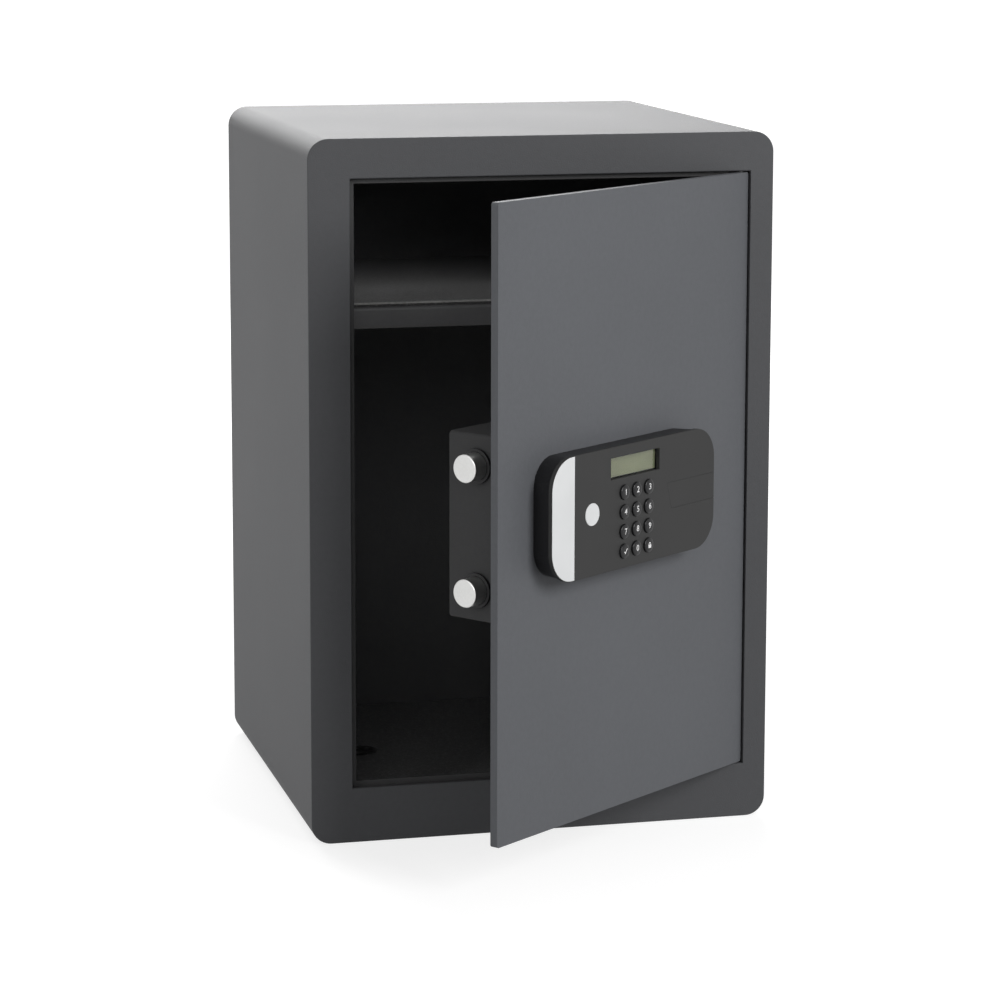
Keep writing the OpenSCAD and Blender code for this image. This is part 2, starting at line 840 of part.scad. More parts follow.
// An angle welded to the side wall, whose upper leg carries the shelf
module shelf_rail(side) {
    color("#2e2f31") mirror([side < 0 ? 1 : 0, 0, 0]) {
        block(side_x - rail_w, side_x, shelf_y0 + rail_in, shelf_y1 - rail_in,
            rail_z - rail_t, rail_z);
        block(side_x - rail_t, side_x, shelf_y0 + rail_in, shelf_y1 - rail_in,
            rail_z - rail_h, rail_z - rail_t);
    }
}

// Profile of the shelf from front to rear, with a rounded bend over each lip
module shelf_profile() {
    depth = shelf_y1 - shelf_y0;
    translate([shelf_y0 + depth / 2, shelf_z - shelf_lip]) intersection() {
        difference() {
            rounded_rect(depth, 2 * shelf_lip, shelf_r);
            rounded_rect(depth - 2 * shelf_t, 2 * (shelf_lip - shelf_t), shelf_r - shelf_t);
        }
        translate([-depth / 2, 0]) square([depth, shelf_lip]);
    }
}

module shelf() {
    color("#2e2f31") {
        along_x(-shelf_x, shelf_x) shelf_profile();
        for (s = [-1, 1]) mirror([s < 0 ? 1 : 0, 0, 0])
            block(shelf_x - shelf_t, shelf_x, shelf_y0 + shelf_t, shelf_y1 - shelf_t,
                shelf_z - shelf_lip, shelf_z - shelf_t);
    }
}

module shelf_mat() {
    color("#232426") block(-shelf_x + mat_in, shelf_x - mat_in, shelf_y0 + mat_in,
        shelf_y1 - mat_in, shelf_z, shelf_z + mat_t);
}

// A bored block behind the face plate that one of the door's pins turns in
module hinge_bearing(z0) {
    color("#3a3b3e") difference() {
        block(bearing_l, open_r, frame_back, frame_back + bearing_d, z0, z0 + bearing_h);
        translate([pin_x, pin_y, z0 - over])
            cylinder(h = bearing_h + 2 * over, d = pin_d + 2 * pin_clear);
    }
}

module thrust_washer() {
    color("#b08d57") translate([pin_x, pin_y, open_b]) difference() {
        cylinder(h = door_gap - skim, d = washer_d);
        translate([0, 0, -over])
            cylinder(h = door_gap + 2 * over, d = pin_d + 4 * pin_clear);
    }
}

module door_plate() {
    door_cx = (door_l + door_r) / 2;
    door_cz = (door_b + door_top) / 2;
    color("#5b5e64") on_door() difference() {
        along_y(front_y, door_back) translate([door_cx, door_cz])
            rounded_rect(door_r - door_l, door_top - door_b, door_corner_r);
        for (z = [door_b - over, door_top - pin_seat]) translate([pin_x, pin_y, z])
            cylinder(h = pin_seat + over, d = pin_d + pin_clear);
        rod_y(cable_x, cable_z, front_y - over, door_back + over, cable_hole_d);
        rod_y(lock_x, lock_z, front_y - over, door_back + over, lock_d + 2 * screw_play);
        for (x = post_xs, z = post_zs)
            rod_y(x, z, front_y - over, door_back + over, screw_d + 2 * screw_play);
        for (x = tab_xs, z = [case_b - tab_hole, case_top + tab_hole])
            rod_y(x, z, door_back - case_screw_l - screw_rest, door_back + over, case_screw_d + skim);
    }
}

module hinge_pins() {
    color("#9a9a9c") on_door() for (z = [door_b - pin_reach, door_top - pin_seat])
        translate([pin_x, pin_y, z]) cylinder(h = pin_seat + pin_reach, d = pin_d);
}

// The panel's outline from the front, set in by the same amount all round
module panel_outline(inset) {
    translate([panel_cx, panel_z])
        rounded_rect(panel_w - 2 * inset, panel_h - 2 * inset, panel_r - inset);
}

// The trim's outline, grown by the seam on its straight side
module trim_outline(grow) {
    intersection() {
        panel_outline(trim_rim);
        translate([panel_l, panel_z - panel_h / 2]) square([trim_w + grow, panel_h]);
    }
}

// Moulded body with drafted ends, screw posts, board posts and a boss round the lock
module panel_base() {
    color("#1d1d1f") on_door() difference() {
        union() {
            difference() {
                hull() {
                    along_y(fascia_back, fascia_back + skim) translate([panel_cx, panel_z])
                        rounded_rect(panel_w - 2 * base_in, panel_h - 2 * base_in,
                            panel_r - base_in, $fn = 32);
                    along_y(front_y - skim, front_y) translate([panel_cx, panel_z])
                        rounded_rect(panel_w - 2 * base_in - 2 * base_draft,
                            panel_h - 4 * base_in, panel_r - base_in - base_round,
                            $fn = 32);
                }
                along_y(fascia_back - over, base_back) translate([panel_cx, panel_z])
                    rounded_rect(panel_w - 2 * (base_in + base_wall + base_draft),
                        panel_h - 2 * (2 * base_in + base_wall),
                        panel_r - base_in - base_wall - base_round);
            }
            for (x = post_xs, z = post_zs) rod_y(x, z, post_y, base_back + skim, post_d);
            for (p = board_posts())
                rod_y(p[0], p[1], key_board_back, base_back + skim, board_post_d);
            rod_y(lock_x, lock_z, lock_flange_y + lock_flange_t, base_back + skim,
                lock_flange_d + 2 * base_wall);
        }
        for (x = post_xs, z = post_zs) rod_y(x, z, post_y + post_end, front_y + over, screw_d + skim);
        rod_y(lock_x, lock_z, fascia_back, front_y + over, lock_d + 2 * screw_play);
        rod_y(cable_x, cable_z, base_back - over, front_y + over, cable_hole_d);
    }
}

// Centres of the posts under the keypad's board
function board_posts() = [for (x = [-1, 1], z = [-1, 1])
    [board_cx + x * (key_board_w / 2 - board_in), board_cz + z * (key_board_h / 2 - board_in)]];

// Outline of the cover over the lock, with its slanted left edge
module cover_outline(l, r, h) {
    polygon([[l + cover_slant, lock_z - h / 2], [r, lock_z - h / 2], [r, lock_z + h / 2],
        [l, lock_z + h / 2]]);
}

module override_cover() {
    step = panel_y + cover_t / 2;
    color("#3a3b3c") on_door() {
        along_y(panel_y, step) cover_outline(cover_l + cover_clear, panel_r_end, cover_h);
        along_y(step, panel_y + cover_t)
            cover_outline(cover_l + cover_clear, panel_r_end, cover_h + 2 * cover_tongue);
    }
}

// The slot that the cover slides in, wider at its floor for the cover's tongues
module cover_slot() {
    step = panel_y + cover_t / 2 - cover_clear;
    slot_h = cover_h + 2 * cover_clear;
    along_y(panel_y - over, step + cover_clear)
        cover_outline(cover_l, panel_r_end + over, slot_h);
    along_y(step, panel_y + cover_t + cover_clear)
        cover_outline(cover_l, panel_r_end + over, slot_h + 2 * cover_tongue);
}

module panel_fascia() {
    color("#3a3b3c") on_door() difference() {
        along_y(panel_y, fascia_back) panel_outline(0);
        along_y(panel_y - over, panel_y + trim_t) trim_outline(seam);
        for (i = [0:11]) rod_y(key_x(i), key_z(i), panel_y - over, fascia_back + over,
            key_d + 2 * key_gap);
        along_y(panel_y - over, fascia_back + over) translate([lcd_x, lcd_z])
            square([lcd_w, lcd_h], center = true);
        rod_y(badge_x, panel_z, panel_y - over, panel_y + badge_seat, badge_d + skim);
        cover_slot();
        rod_y(lock_x, lock_z, panel_y - over, fascia_back + over, lock_window);
    }
}

module silver_trim() {
    color("#d9dadb") on_door() along_y(panel_y, panel_y + trim_t) trim_outline(0);
}

module badge_disc() {
    color("#cfd0d2") on_door()
        rod_y(badge_x, panel_z, panel_y + badge_seat - badge_t, panel_y + badge_seat, badge_d);
}

module lcd_window() {
    color("#9aa08a", 0.4) on_door() along_y(fascia_back, fascia_back + pane_t)
        translate([lcd_x, lcd_z])
        square([lcd_w + 2 * lcd_rim, lcd_h + 2 * lcd_rim], center = true);
}

module lcd_screen() {
    color("#8c8f78") on_door() along_y(fascia_back + pane_t, key_board_y)
        translate([lcd_x, lcd_z]) square([lcd_w + lcd_rim, lcd_h + lcd_rim], center = true);
}

// Socket of the flat cable between two depths
module cable_socket(y0, y1) {
    w = cable_w / 2 + socket_wall;
    h = cable_t / 2 + socket_wall;
    block(cable_x - w, cable_x + w, y0, y1, cable_z - h, cable_z + h);
}

module key_board() {
    color("#2f5d3a") on_door() {
        along_y(key_board_y, key_board_back) translate([board_cx, board_cz])
            square([key_board_w, key_board_h], center = true);
        cable_socket(key_board_back, key_board_back + socket_l);
    }
}

module keypad_cable() {
    color("#6c6c6e") on_door() block(cable_x - cable_w / 2, cable_x + cable_w / 2,
        key_board_back + socket_l, control_y - socket_l,
        cable_z - cable_t / 2, cable_z + cable_t / 2);
}

// A screw along Y with its head towards the inside of the safe
module screw(x, z, head_y, d, shank_l, head_d, head_h) {
    translate([x, head_y, z]) rotate([-90, 0, 0]) rotate_extrude() polygon([
        [0, -shank_l], [d / 2, -shank_l], [d / 2, 0], [head_d / 2, 0],
        [head_d / 2, head_h * 0.6], [head_d * 0.36, head_h], [0, head_h]]);
}

module panel_screws() {
    color("#8f9093") on_door() for (x = post_xs, z = post_zs)
        screw(x, z, door_back, screw_d, door_t + base_wall + post_l - post_end - screw_rest,
            panel_head_d, panel_head_h);
}

module override_lock() {
    color("#9fa1a4") on_door() difference() {
        union() {
            rod_y(lock_x, lock_z, lock_flange_y, lock_flange_y + lock_flange_t, lock_flange_d);
            rod_y(lock_x, lock_z, lock_flange_y, lock_back, lock_d);
        }
        rod_y(lock_x, lock_z, lock_flange_y - over, lock_back + over,
            barrel_d + 2 * barrel_clear);
    }
}

module lock_nut() {
    color("#9fa1a4") on_door() difference() {
        along_y(plate_y, plate_y + nut_t) translate([lock_x, lock_z])
            circle(d = nut_flats / cos(30), $fn = 6);
        rod_y(lock_x, lock_z, plate_y - over, plate_y + nut_t + over, lock_d + skim);
    }
}

// The barrel has the keyway at its front and a square for the cam at its rear
module key_barrel() {
    color("#c3b37a") on_door() difference() {
        union() {
            rod_y(lock_x, lock_z, lock_flange_y + 2 * skim, lock_back, barrel_d);
            block(lock_x - cam_square / 2, lock_x + cam_square / 2, lock_back,
                cam_y + cam_t + cam_tail, lock_z - cam_square / 2, lock_z + cam_square / 2);
        }
        block(lock_x - keyway_w / 2, lock_x + keyway_w / 2, lock_flange_y - over,
            lock_flange_y + keyway_l, lock_z - keyway_h / 2, lock_z + keyway_h / 2);
    }
}

module lock_cam() {
    color("#8f9093") on_door() along_y(cam_y, cam_y + cam_t) translate([lock_x, lock_z])
        rotate(180 - cam_tilt) difference() {
            union() {
                circle(d = cam_hub_d);
                translate([0, -cam_w / 2]) square([cam_reach - cam_w / 2, cam_w]);
                translate([cam_reach - cam_w / 2, 0]) circle(d = cam_w);
            }
            rotate(cam_tilt - 180) square(cam_square + skim, center = true);
        }
}

// Folded sheet case, open towards the door, with four tabs and the holes of what it carries
module lock_case() {
    color("#303134") on_door() difference() {
        union() {
            along_y(door_back, case_back - case_t) translate([case_cx, case_z]) difference() {
                rounded_rect(case_w, case_h, case_r);
                rounded_rect(case_w - 2 * case_t, case_h - 2 * case_t, case_r - case_t);
            }
            along_y(case_back - case_t, case_back) translate([case_cx, case_z])
                rounded_rect(case_w, case_h, case_r);
            for (x = tab_xs) {
                block(x - tab_w / 2, x + tab_w / 2, door_back, door_back + case_t,
                    case_top - case_t, case_top + tab_h);
                block(x - tab_w / 2, x + tab_w / 2, door_back, door_back + case_t,
                    case_b - tab_h, case_b + case_t);
            }
        }
        for (z = bolt_zs)
            rod_x(bolt_y, z, case_l - over, case_l + case_t + over, bush_body_d);
        for (x = tab_xs, z = [case_b - tab_hole, case_top + tab_hole])
            rod_y(x, z, door_back - over, door_back + case_t + over,
                case_screw_d + 2 * screw_play);
        along_y(case_back - case_t - over, case_back + over)
            translate([box_l - skim, box_b - skim])
            square([box_w + 2 * skim, box_h + 2 * skim]);
        rod_y(set_x, set_z, case_back - case_t - over, case_back + over, set_body_d + skim);
    }
}

module case_screws() {
    color("#8f9093") on_door()
        for (x = tab_xs, z = [case_b - tab_hole, case_top + tab_hole])
            screw(x, z, door_back + case_t, case_screw_d, case_t + case_screw_l,
                case_head_d, case_head_h);
}

// Flanged sleeves in the wall of the case, bored for the bolts
module bolt_bushes() {
    color("#1d1d1f") on_door() for (z = bolt_zs) difference() {
        union() {
            rod_x(bolt_y, z, case_l - bush_flange_t, case_l, bush_flange_d);
            rod_x(bolt_y, z, case_l, case_l + bush_l, bush_body_d);
        }
        rod_x(bolt_y, z, case_l - bush_flange_t - over, case_l + bush_l + over,
            bolt_d + 2 * bolt_clear);
    }
}

// A turned bolt with a chamfered tip, riveted through the bar
module bolt(z) {
    color("#c9cacc") on_door() translate([bolt_tip, bolt_y, z]) rotate([0, 90, 0])
        rotate_extrude() polygon([
            [0, 0], [bolt_d / 2 - bolt_chamfer, 0], [bolt_d / 2, bolt_chamfer],
            [bolt_d / 2, bar_back], [neck_d / 2, bar_back], [neck_d / 2, bar_back + bar_t],
            [rivet_d / 2, bar_back + bar_t], [rivet_d / 2, bar_back + bar_t + rivet_t * 0.5],
            [rivet_d * 0.3, bar_back + bar_t + rivet_t], [0, bar_back + bar_t + rivet_t]]);
}

module bolt_bar() {
    bar_h = bolt_pitch + 2 * bar_end;
    color("#8f9093") on_door() difference() {
        along_x(bar_x, bar_x + bar_t) translate([bolt_y, case_z])
            rounded_rect(bar_w, bar_h, bar_r);
        for (z = bolt_zs) rod_x(bolt_y, z, bar_x - over, bar_x + bar_t + over, neck_d + skim);
        block(bar_x - over, bar_x + bar_t + over, bolt_y - rack_w / 4 - skim / 2,
            bolt_y + rack_w / 4 + skim / 2, rack_b + tongue_in - skim / 2,
            rack_b + rack_h - tongue_in + skim / 2);
    }
}

// Trapezoid teeth of the rack, with a gap under the gear's lowest tooth at rest
module rack_profile() {
    foot = (tooth_pitch / 2 - backlash) / 2 + dedendum * tan(pressure_angle);
    tip = (tooth_pitch / 2 - backlash) / 2 - rack_addendum * tan(pressure_angle);
    root_z = rack_b + rack_h;
    tip_z = rack_pitch_z + rack_addendum;
    first = gear_x - gear_tip_r;
    shift = first + tooth_pitch - (((first - gear_x) / tooth_pitch + 1000.5) % 1) * tooth_pitch;
    translate([bar_x + bar_t, rack_b]) square([rack_end - bar_x - bar_t, rack_h]);
    for (i = [0:rack_teeth - 1]) translate([shift + i * tooth_pitch, 0])
        polygon([[-foot, root_z - skim], [-foot, root_z], [-tip, tip_z], [tip, tip_z],
            [foot, root_z], [foot, root_z - skim]]);
}

module bolt_rack() {
    color("#a8a9ab") on_door() {
        along_y(bolt_y - rack_w / 2, bolt_y + rack_w / 2) rack_profile();
        block(bar_x, bar_x + bar_t + skim, bolt_y - rack_w / 4, bolt_y + rack_w / 4,
            rack_b + tongue_in, rack_b + rack_h - tongue_in);
        rod_y(cam_pin_x, rack_b + rack_h / 2, cam_y - skim, bolt_y, cam_pin_d);
    }
}

module mounting_plate() {
    plate_l = bar_x + bar_t;
    plate_w = case_rt - case_t - plate_gap - plate_l;
    plate_h = case_h - 2 * case_t - 2 * plate_gap_z;
    color("#8f9093") on_door() along_y(door_back, plate_y) difference() {
        translate([plate_l + plate_w / 2, case_z]) rounded_rect(plate_w, plate_h, plate_r);
        translate([cable_x, cable_z]) circle(d = cable_hole_d);
        translate([lock_x, lock_z]) circle(d = lock_d + 2 * screw_play);
        for (z = post_zs) translate([post_xs[1], z]) circle(d = panel_head_d + 2 * head_room);
    }
}

// A channel on the mounting plate in which the rack bar slides
module rack_guide(x0, l) {
    slot = rack_w + 2 * rack_clear;
    y1 = bolt_y + slot / 2 + guide_wall;
    difference() {
        union() {
            block(x0, x0 + l, plate_y, y1, rack_b - rack_clear - guide_wall * 2,
                rack_b - rack_clear);
            block(x0, x0 + l, bolt_y - slot / 2 - guide_rail, y1, rack_b - rack_clear - skim,
                rack_b + guide_lip);
        }
        block(x0 - over, x0 + l + over, bolt_y - slot / 2, bolt_y + slot / 2,
            rack_b - rack_clear, rack_b + rack_h + over);
    }
}

module rack_guides() {
    color("#e4e2da") on_door() {
        rack_guide(gear_x - guide_l / 2, guide_l);
        rack_guide(guide_far_x, guide_far_l);
    }
}

// Gearbox with the motor standing on it
module gear_motor() {
    color("#6f7175") on_door() difference() {
        union() {
            block(gear_x - gearbox_w / 2, gear_x + gearbox_w / 2, plate_y, gearbox_y,
                gearbox_b, gearbox_b + gearbox_h);
            rod_y(gear_x, gear_z, gearbox_y, gearbox_y + boss_t, boss_d);
            translate([gear_x, plate_y + motor_d / 2 + skim, gearbox_b + gearbox_h])
                cylinder(h = motor_l, d = motor_d);
            translate([gear_x, plate_y + motor_d / 2 + skim, gearbox_b + gearbox_h + motor_l])
                cylinder(h = motor_nose, d = motor_d / 3);
        }
        rod_y(gear_x, gear_z, shaft_y - skim, gearbox_y + boss_t + over,
            shaft_d + 2 * shaft_clear);
    }
}

function involute_angle(a) = tan(a) * 180 / PI - a;

// Half the angle that a gear tooth covers at radius r
function tooth_half(r) = (tooth_pitch / 2 - backlash) / 2 / gear_r * 180 / PI
    + involute_angle(pressure_angle) - involute_angle(acos(min(1, gear_base_r / r)));

// Radii at which a tooth's flank is drawn, from its root to its tip
flank_steps = 6;
flank_rs = concat([gear_root_r], [for (i = [0:flank_steps])
    gear_base_r + (gear_tip_r - gear_base_r) * i / flank_steps]);

// Outline of the involute gear, with one tooth pointing straight down
function gear_points() = [for (t = [0:gear_teeth - 1]) let (mid = -90 + t * 360 / gear_teeth)
    each concat(
        [for (r = flank_rs) let (a = mid - tooth_half(r)) [r * cos(a), r * sin(a)]],
        [for (i = [len(flank_rs) - 1:-1:0]) let (r = flank_rs[i], a = mid + tooth_half(r))
            [r * cos(a), r * sin(a)]])];

module drive_gear() {
    color("#b9a15a") on_door() {
        along_y(bolt_y - gear_w / 2, bolt_y + gear_w / 2) translate([gear_x, gear_z])
            polygon(gear_points());
        rod_y(gear_x, gear_z, gearbox_y + boss_t + skim, bolt_y, hub_d);
        rod_y(gear_x, gear_z, shaft_y, shaft_end, shaft_d);
    }
}

module control_board() {
    front = control_y + board_t;
    color("#2f5d3a") on_door() {
        block(control_l, control_l + control_w, control_y, front, control_b,
            control_b + control_h);
        cable_socket(control_y - socket_l, control_y);
        block(chip_l, chip_l + chip_w, front, front + chip_t, chip_b, chip_b + chip_w);
        block(driver_l, driver_l + driver_w, front, front + driver_t,
            driver_z - driver_h / 2, driver_z + driver_h / 2);
        rod_y(driver_l + driver_w / 2, chip_b + chip_w + capacitor_d / 2, front,
            front + capacitor_l, capacitor_d);
        rod_y(control_l + control_w - chip_gap, driver_z, front, front + buzzer_l, buzzer_d);
    }
}

module board_spacers() {
    color("#c9cacc") on_door() for (x = [board_in, control_w - board_in],
        z = [board_in, control_h - board_in])
        rod_y(control_l + x, control_b + z, plate_y, control_y, spacer_d);
}

// Tray for the cells, whose rim stands through the case and guides the cover
module battery_box() {
    color("#232325") on_door() difference() {
        union() {
            block(box_l, box_l + box_w, box_y, rim_y, box_b, box_b + box_h);
            block(box_l - box_flange, box_l + box_w + box_flange, case_back,
                case_back + box_flange_t, box_b - box_flange, box_b + box_h + box_flange);
        }
        block(box_l + box_wall, box_l + box_w - box_wall, box_y + box_wall, rim_y + over,
            box_b + box_wall, box_b + box_h - box_wall);
        block(box_l + box_wall - groove_d - lid_clear, box_l + box_w - box_wall + groove_d
            + lid_clear, lid_y - lid_clear, lid_y + lid_t + lid_clear,
            box_b + box_wall - lid_clear, box_b + box_h + over);
        block(box_l + box_wall, box_l + box_w - box_wall, lid_y, rim_y + over,
            box_b + box_wall, box_b + box_h + over);
    }
}

module batteries() {
    pitch = cell_d + 2 * cell_gap;
    z0 = box_b + box_wall + cell_gap;
    color("#9c6b2f") on_door() for (i = [0:cells - 1])
        translate([box_l + box_wall + pitch * (i + 0.5), cell_y, z0]) {
            cylinder(h = cell_l - nub_l, d = cell_d);
            cylinder(h = cell_l, d = nub_d);
        }
}

module battery_cover() {
    color("#232325") on_door() {
        block(box_l + box_wall - groove_d, box_l + box_w - box_wall + groove_d,
            lid_y, lid_y + lid_t, box_b + box_wall, box_b + box_h);
        for (i = [0:grips - 1]) {
            grip_z = box_b + box_h - grip_in - grip_pitch * i;
            block(box_l + (box_w - grip_w) / 2, box_l + (box_w + grip_w) / 2,
                lid_y + lid_t - skim, lid_y + lid_t + grip_t, grip_z - grip_t, grip_z);
        }
    }
}

module reset_switch() {
    color("#2a2a2c") on_door() difference() {
        union() {
            rod_y(set_x, set_z, case_back, case_back + set_collar_t, set_collar_d);
            rod_y(set_x, set_z, case_back - set_body_l, case_back + skim, set_body_d);
        }
        rod_y(set_x, set_z, case_back - set_body_l + set_floor,
            case_back + set_collar_t + over,
            set_d + 2 * set_clear);
    }
}

module reset_button() {
    color("#b3221c") on_door()
        rod_y(set_x, set_z, case_back - set_body_l + set_floor + set_room,
            case_back + set_collar_t + set_rise, set_d);
}

function key_x(i) = keys_x + (i % 3 - 1) * key_pitch_x;
function key_z(i) = keys_z - floor(i / 3) * key_pitch_z;

// A crowned round key with a flange that holds it behind the fascia
module key(i) {
    top = key_rise + fascia_t + key_play;
    color("#1b1b1d") on_door() translate([key_x(i), flange_y, key_z(i)]) rotate([90, 0, 0])
        rotate_extrude() polygon(concat(
            [[0, -key_flange_t - key_travel], [stem_d / 2, -key_flange_t - key_travel],
                [stem_d / 2, -key_flange_t], [key_d / 2 + key_flange, -key_flange_t],
                [key_d / 2 + key_flange, 0], [key_d / 2, 0]],
            [for (a = [0:15:75]) [key_d / 2 * cos(a * 0.5) * (1 - 0.06 * a / 75),
                top - key_crown + key_crown * sin(a)]],
            [[0, top]]));
}

outer_wrap();
back_panel();
front_frame();
door_stop_frame();
hinge_jamb();
floor_pan();
floor_mat();
shelf_rail(-1);  // shelf_rail_left
shelf_rail(1);  // shelf_rail_right
shelf();
shelf_mat();
hinge_bearing(open_top);  // hinge_bearing_top
hinge_bearing(open_b - bearing_h);  // hinge_bearing_bottom
thrust_washer();
door_plate();
hinge_pins();
panel_base();
panel_fascia();
silver_trim();
badge_disc();
lcd_window();
lcd_screen();
key_board();
keypad_cable();
panel_screws();
override_cover();
override_lock();
lock_nut();
key_barrel();
lock_cam();
lock_case();
case_screws();
bolt_bushes();
bolt(bolt_zs[1]);  // bolt_upper
bolt(bolt_zs[0]);  // bolt_lower
bolt_bar();
bolt_rack();
mounting_plate();
rack_guides();
gear_motor();
drive_gear();
control_board();
board_spacers();
battery_box();
batteries();
battery_cover();
reset_switch();
reset_button();
key(0);  // key_1
key(1);  // key_2
key(2);  // key_3
key(3);  // key_4
key(4);  // key_5
key(5);  // key_6
key(6);  // key_7
key(7);  // key_8
key(8);  // key_9
key(10);  // key_0
key(9);  // key_enter
key(11);  // key_lock
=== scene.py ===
"""Dresses the electronic safe: its finishes, rounded edges, keys with numbers, screws and studio."""

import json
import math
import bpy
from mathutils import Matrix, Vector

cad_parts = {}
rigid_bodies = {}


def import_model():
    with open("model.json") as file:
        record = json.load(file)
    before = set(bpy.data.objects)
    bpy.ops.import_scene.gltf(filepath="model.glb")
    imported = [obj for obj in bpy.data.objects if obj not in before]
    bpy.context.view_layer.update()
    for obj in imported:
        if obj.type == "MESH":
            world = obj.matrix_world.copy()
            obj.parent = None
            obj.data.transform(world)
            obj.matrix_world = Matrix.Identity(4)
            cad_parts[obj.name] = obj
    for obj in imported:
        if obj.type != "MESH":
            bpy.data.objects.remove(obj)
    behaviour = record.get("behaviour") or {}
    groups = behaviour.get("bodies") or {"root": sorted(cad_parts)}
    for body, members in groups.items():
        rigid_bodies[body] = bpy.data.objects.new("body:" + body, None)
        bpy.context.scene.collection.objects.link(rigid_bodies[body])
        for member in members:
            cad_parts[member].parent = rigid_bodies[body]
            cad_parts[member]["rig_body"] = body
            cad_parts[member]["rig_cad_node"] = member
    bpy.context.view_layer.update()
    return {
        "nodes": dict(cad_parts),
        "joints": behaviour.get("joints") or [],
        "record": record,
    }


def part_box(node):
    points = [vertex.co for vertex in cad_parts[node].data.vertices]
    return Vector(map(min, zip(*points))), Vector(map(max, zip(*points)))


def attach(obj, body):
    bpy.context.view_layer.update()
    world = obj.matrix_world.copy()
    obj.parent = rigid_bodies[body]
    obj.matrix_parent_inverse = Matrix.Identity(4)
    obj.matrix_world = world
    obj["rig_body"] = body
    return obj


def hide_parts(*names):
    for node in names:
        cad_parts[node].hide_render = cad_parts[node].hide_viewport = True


bl_info = {
    "name": "Electronic safe",
    "version": (1, 0, 0),
    "blender": (4, 5, 0),
    "location": "View3D > Sidebar > Safe",
    "description": "Gives the safe its finishes and small parts, and sets a studio round it",
    "category": "Object",
}

import bpy
from bpy.props import FloatProperty, FloatVectorProperty, PointerProperty
from mathutils import Matrix, Vector

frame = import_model()
NODES = frame["nodes"]
BODY_OF = {node: body for body, nodes in frame["record"]["behaviour"]["bodies"].items() for node in nodes}
SLOT_OF = {part["node"]: part["material_slot"] for part in frame["record"]["subparts"]}
MM = 0.001

# The door's pins, the turn that shuts it from rest, and the move that opens it again
SWING = next(joint for joint in frame["joints"] if joint["name"] == "door_swing")
PIVOT = Vector(SWING["pos_m"])
SHUT_TURN = math.radians(SWING["range_deg"][0])
OPENED = Matrix.Translation(PIVOT) @ Matrix.Rotation(-SHUT_TURN, 4, "Z") @ Matrix.Translation(-PIVOT)

# Tilt about X that points +Z out of the closed door's front or back
TO_FRONT = math.radians(90)
TO_BACK = math.radians(-90)

# What the keys show, row after row
SIGNS = [*"123456789", "enter", "0", "lock"]


def colour_property(name, description, default):
    return FloatVectorProperty(
        name=name, description=description, default=default, size=3, min=0, max=1, subtype="COLOR"
    )


def length_property(name, description, default):
    return FloatProperty(name=name, description=description, default=default, min=0, unit="LENGTH")


def angle_property(name, description, degrees):
    return FloatProperty(
        name=name, description=description, default=math.radians(degrees), subtype="ANGLE", unit="ROTATION"
    )


class SafeColours(bpy.types.PropertyGroup):
    body: colour_property("Cabinet", "Powder coat of the cabinet", (0.057, 0.0582, 0.062))
    # Painted light: a lighter copy of the cabinet coat on the rear wall's inner face, standing in for light
    # inside the safe
    painted_light_inner_face: colour_property("Liner", "Powder coat of the rear wall's inner face", (0.14, 0.14, 0.143))
    shelf: colour_property("Shelf", "Powder coat of the shelf", (0.08, 0.08, 0.082))
    door: colour_property("Door", "Powder coat of the door", (0.1, 0.104, 0.113))
    inside: colour_property("Inside", "Coat of the jamb, floor, rails and lock case", (0.045, 0.045, 0.046))
    felt: colour_property("Felt", "Felt on the shelf and the floor", (0.029, 0.029, 0.0295))
    # Painted highlight: a light colour laid on the felt's rounded top front edge, where the lamps catch it
    felt_edge_highlight: colour_property("Frayed felt", "Loose fibres along the felt's front edge", (0.3, 0.3, 0.29))
    fascia: colour_property("Fascia", "Moulded face and lock cover of the keypad", (0.033, 0.033, 0.033))
    black: colour_property("Black plastic", "Keypad's body, bushes and cell holder", (0.008, 0.008, 0.009))
    keys: colour_property("Keys", "Domed keys", (0.012, 0.012, 0.013))
    glyphs: colour_property("Numbers", "Printed numbers and signs on the keys", (0.82, 0.82, 0.82))
    trim: colour_property("Trim", "Bright end trim and plain disc", (0.71, 0.72, 0.725))
    display: colour_property("Display", "Unlit display", (0.235, 0.252, 0.155))
    steel: colour_property("Bright steel", "Bolts, lock housing and circuit spacers", (0.6, 0.6, 0.59))


class SafeSizes(bpy.types.PropertyGroup):
    fold_edge: length_property("Welded edge", "Radius of the cabinet's front edge", 1.2 * MM)
    sheet_edge: length_property("Sheet edge", "Radius of cut sheet edges", 0.35 * MM)
    door_edge: length_property("Door edge", "Radius of the door's edge", 0.7 * MM)
    moulded_edge: length_property("Moulded edge", "Radius of the keypad's edges", 0.6 * MM)
    felt_edge: length_property("Felt edge", "Radius of the felt's edge", 1.1 * MM)
    # Width of the black band round the display's edge
    display_border: length_property("Display border", "Black border printed round the display", 2.7 * MM)
    glyph: length_property("Number size", "Height of the numbers' type on the keys", 6.2 * MM)
    print: length_property("Print", "Thickness of the printed numbers", 0.06 * MM)


class SafeStudio(bpy.types.PropertyGroup):
    lens: FloatProperty(
        name="Lens", description="Focal length in mm on a 36 mm sensor", default=120.6, unit="CAMERA"
    )
    yaw: angle_property("Yaw", "Turn to the right", 14.09)
    pitch: angle_property("Pitch", "Tilt down", 9.02)
    roll: angle_property("Roll", "Turn about the view", 0.12)
    lift: FloatProperty(name="Shift", description="Share of the frame the view is shifted up", default=-0.1)
    place: FloatVectorProperty(
        name="Place", description="Where the camera stands", default=(-0.622, -2.517, 0.711), size=3,
        subtype="TRANSLATION", unit="LENGTH",
    )


def settings():
    scene = bpy.context.scene
    return scene.safe_colours, scene.safe_sizes, scene.safe_studio


# Materials


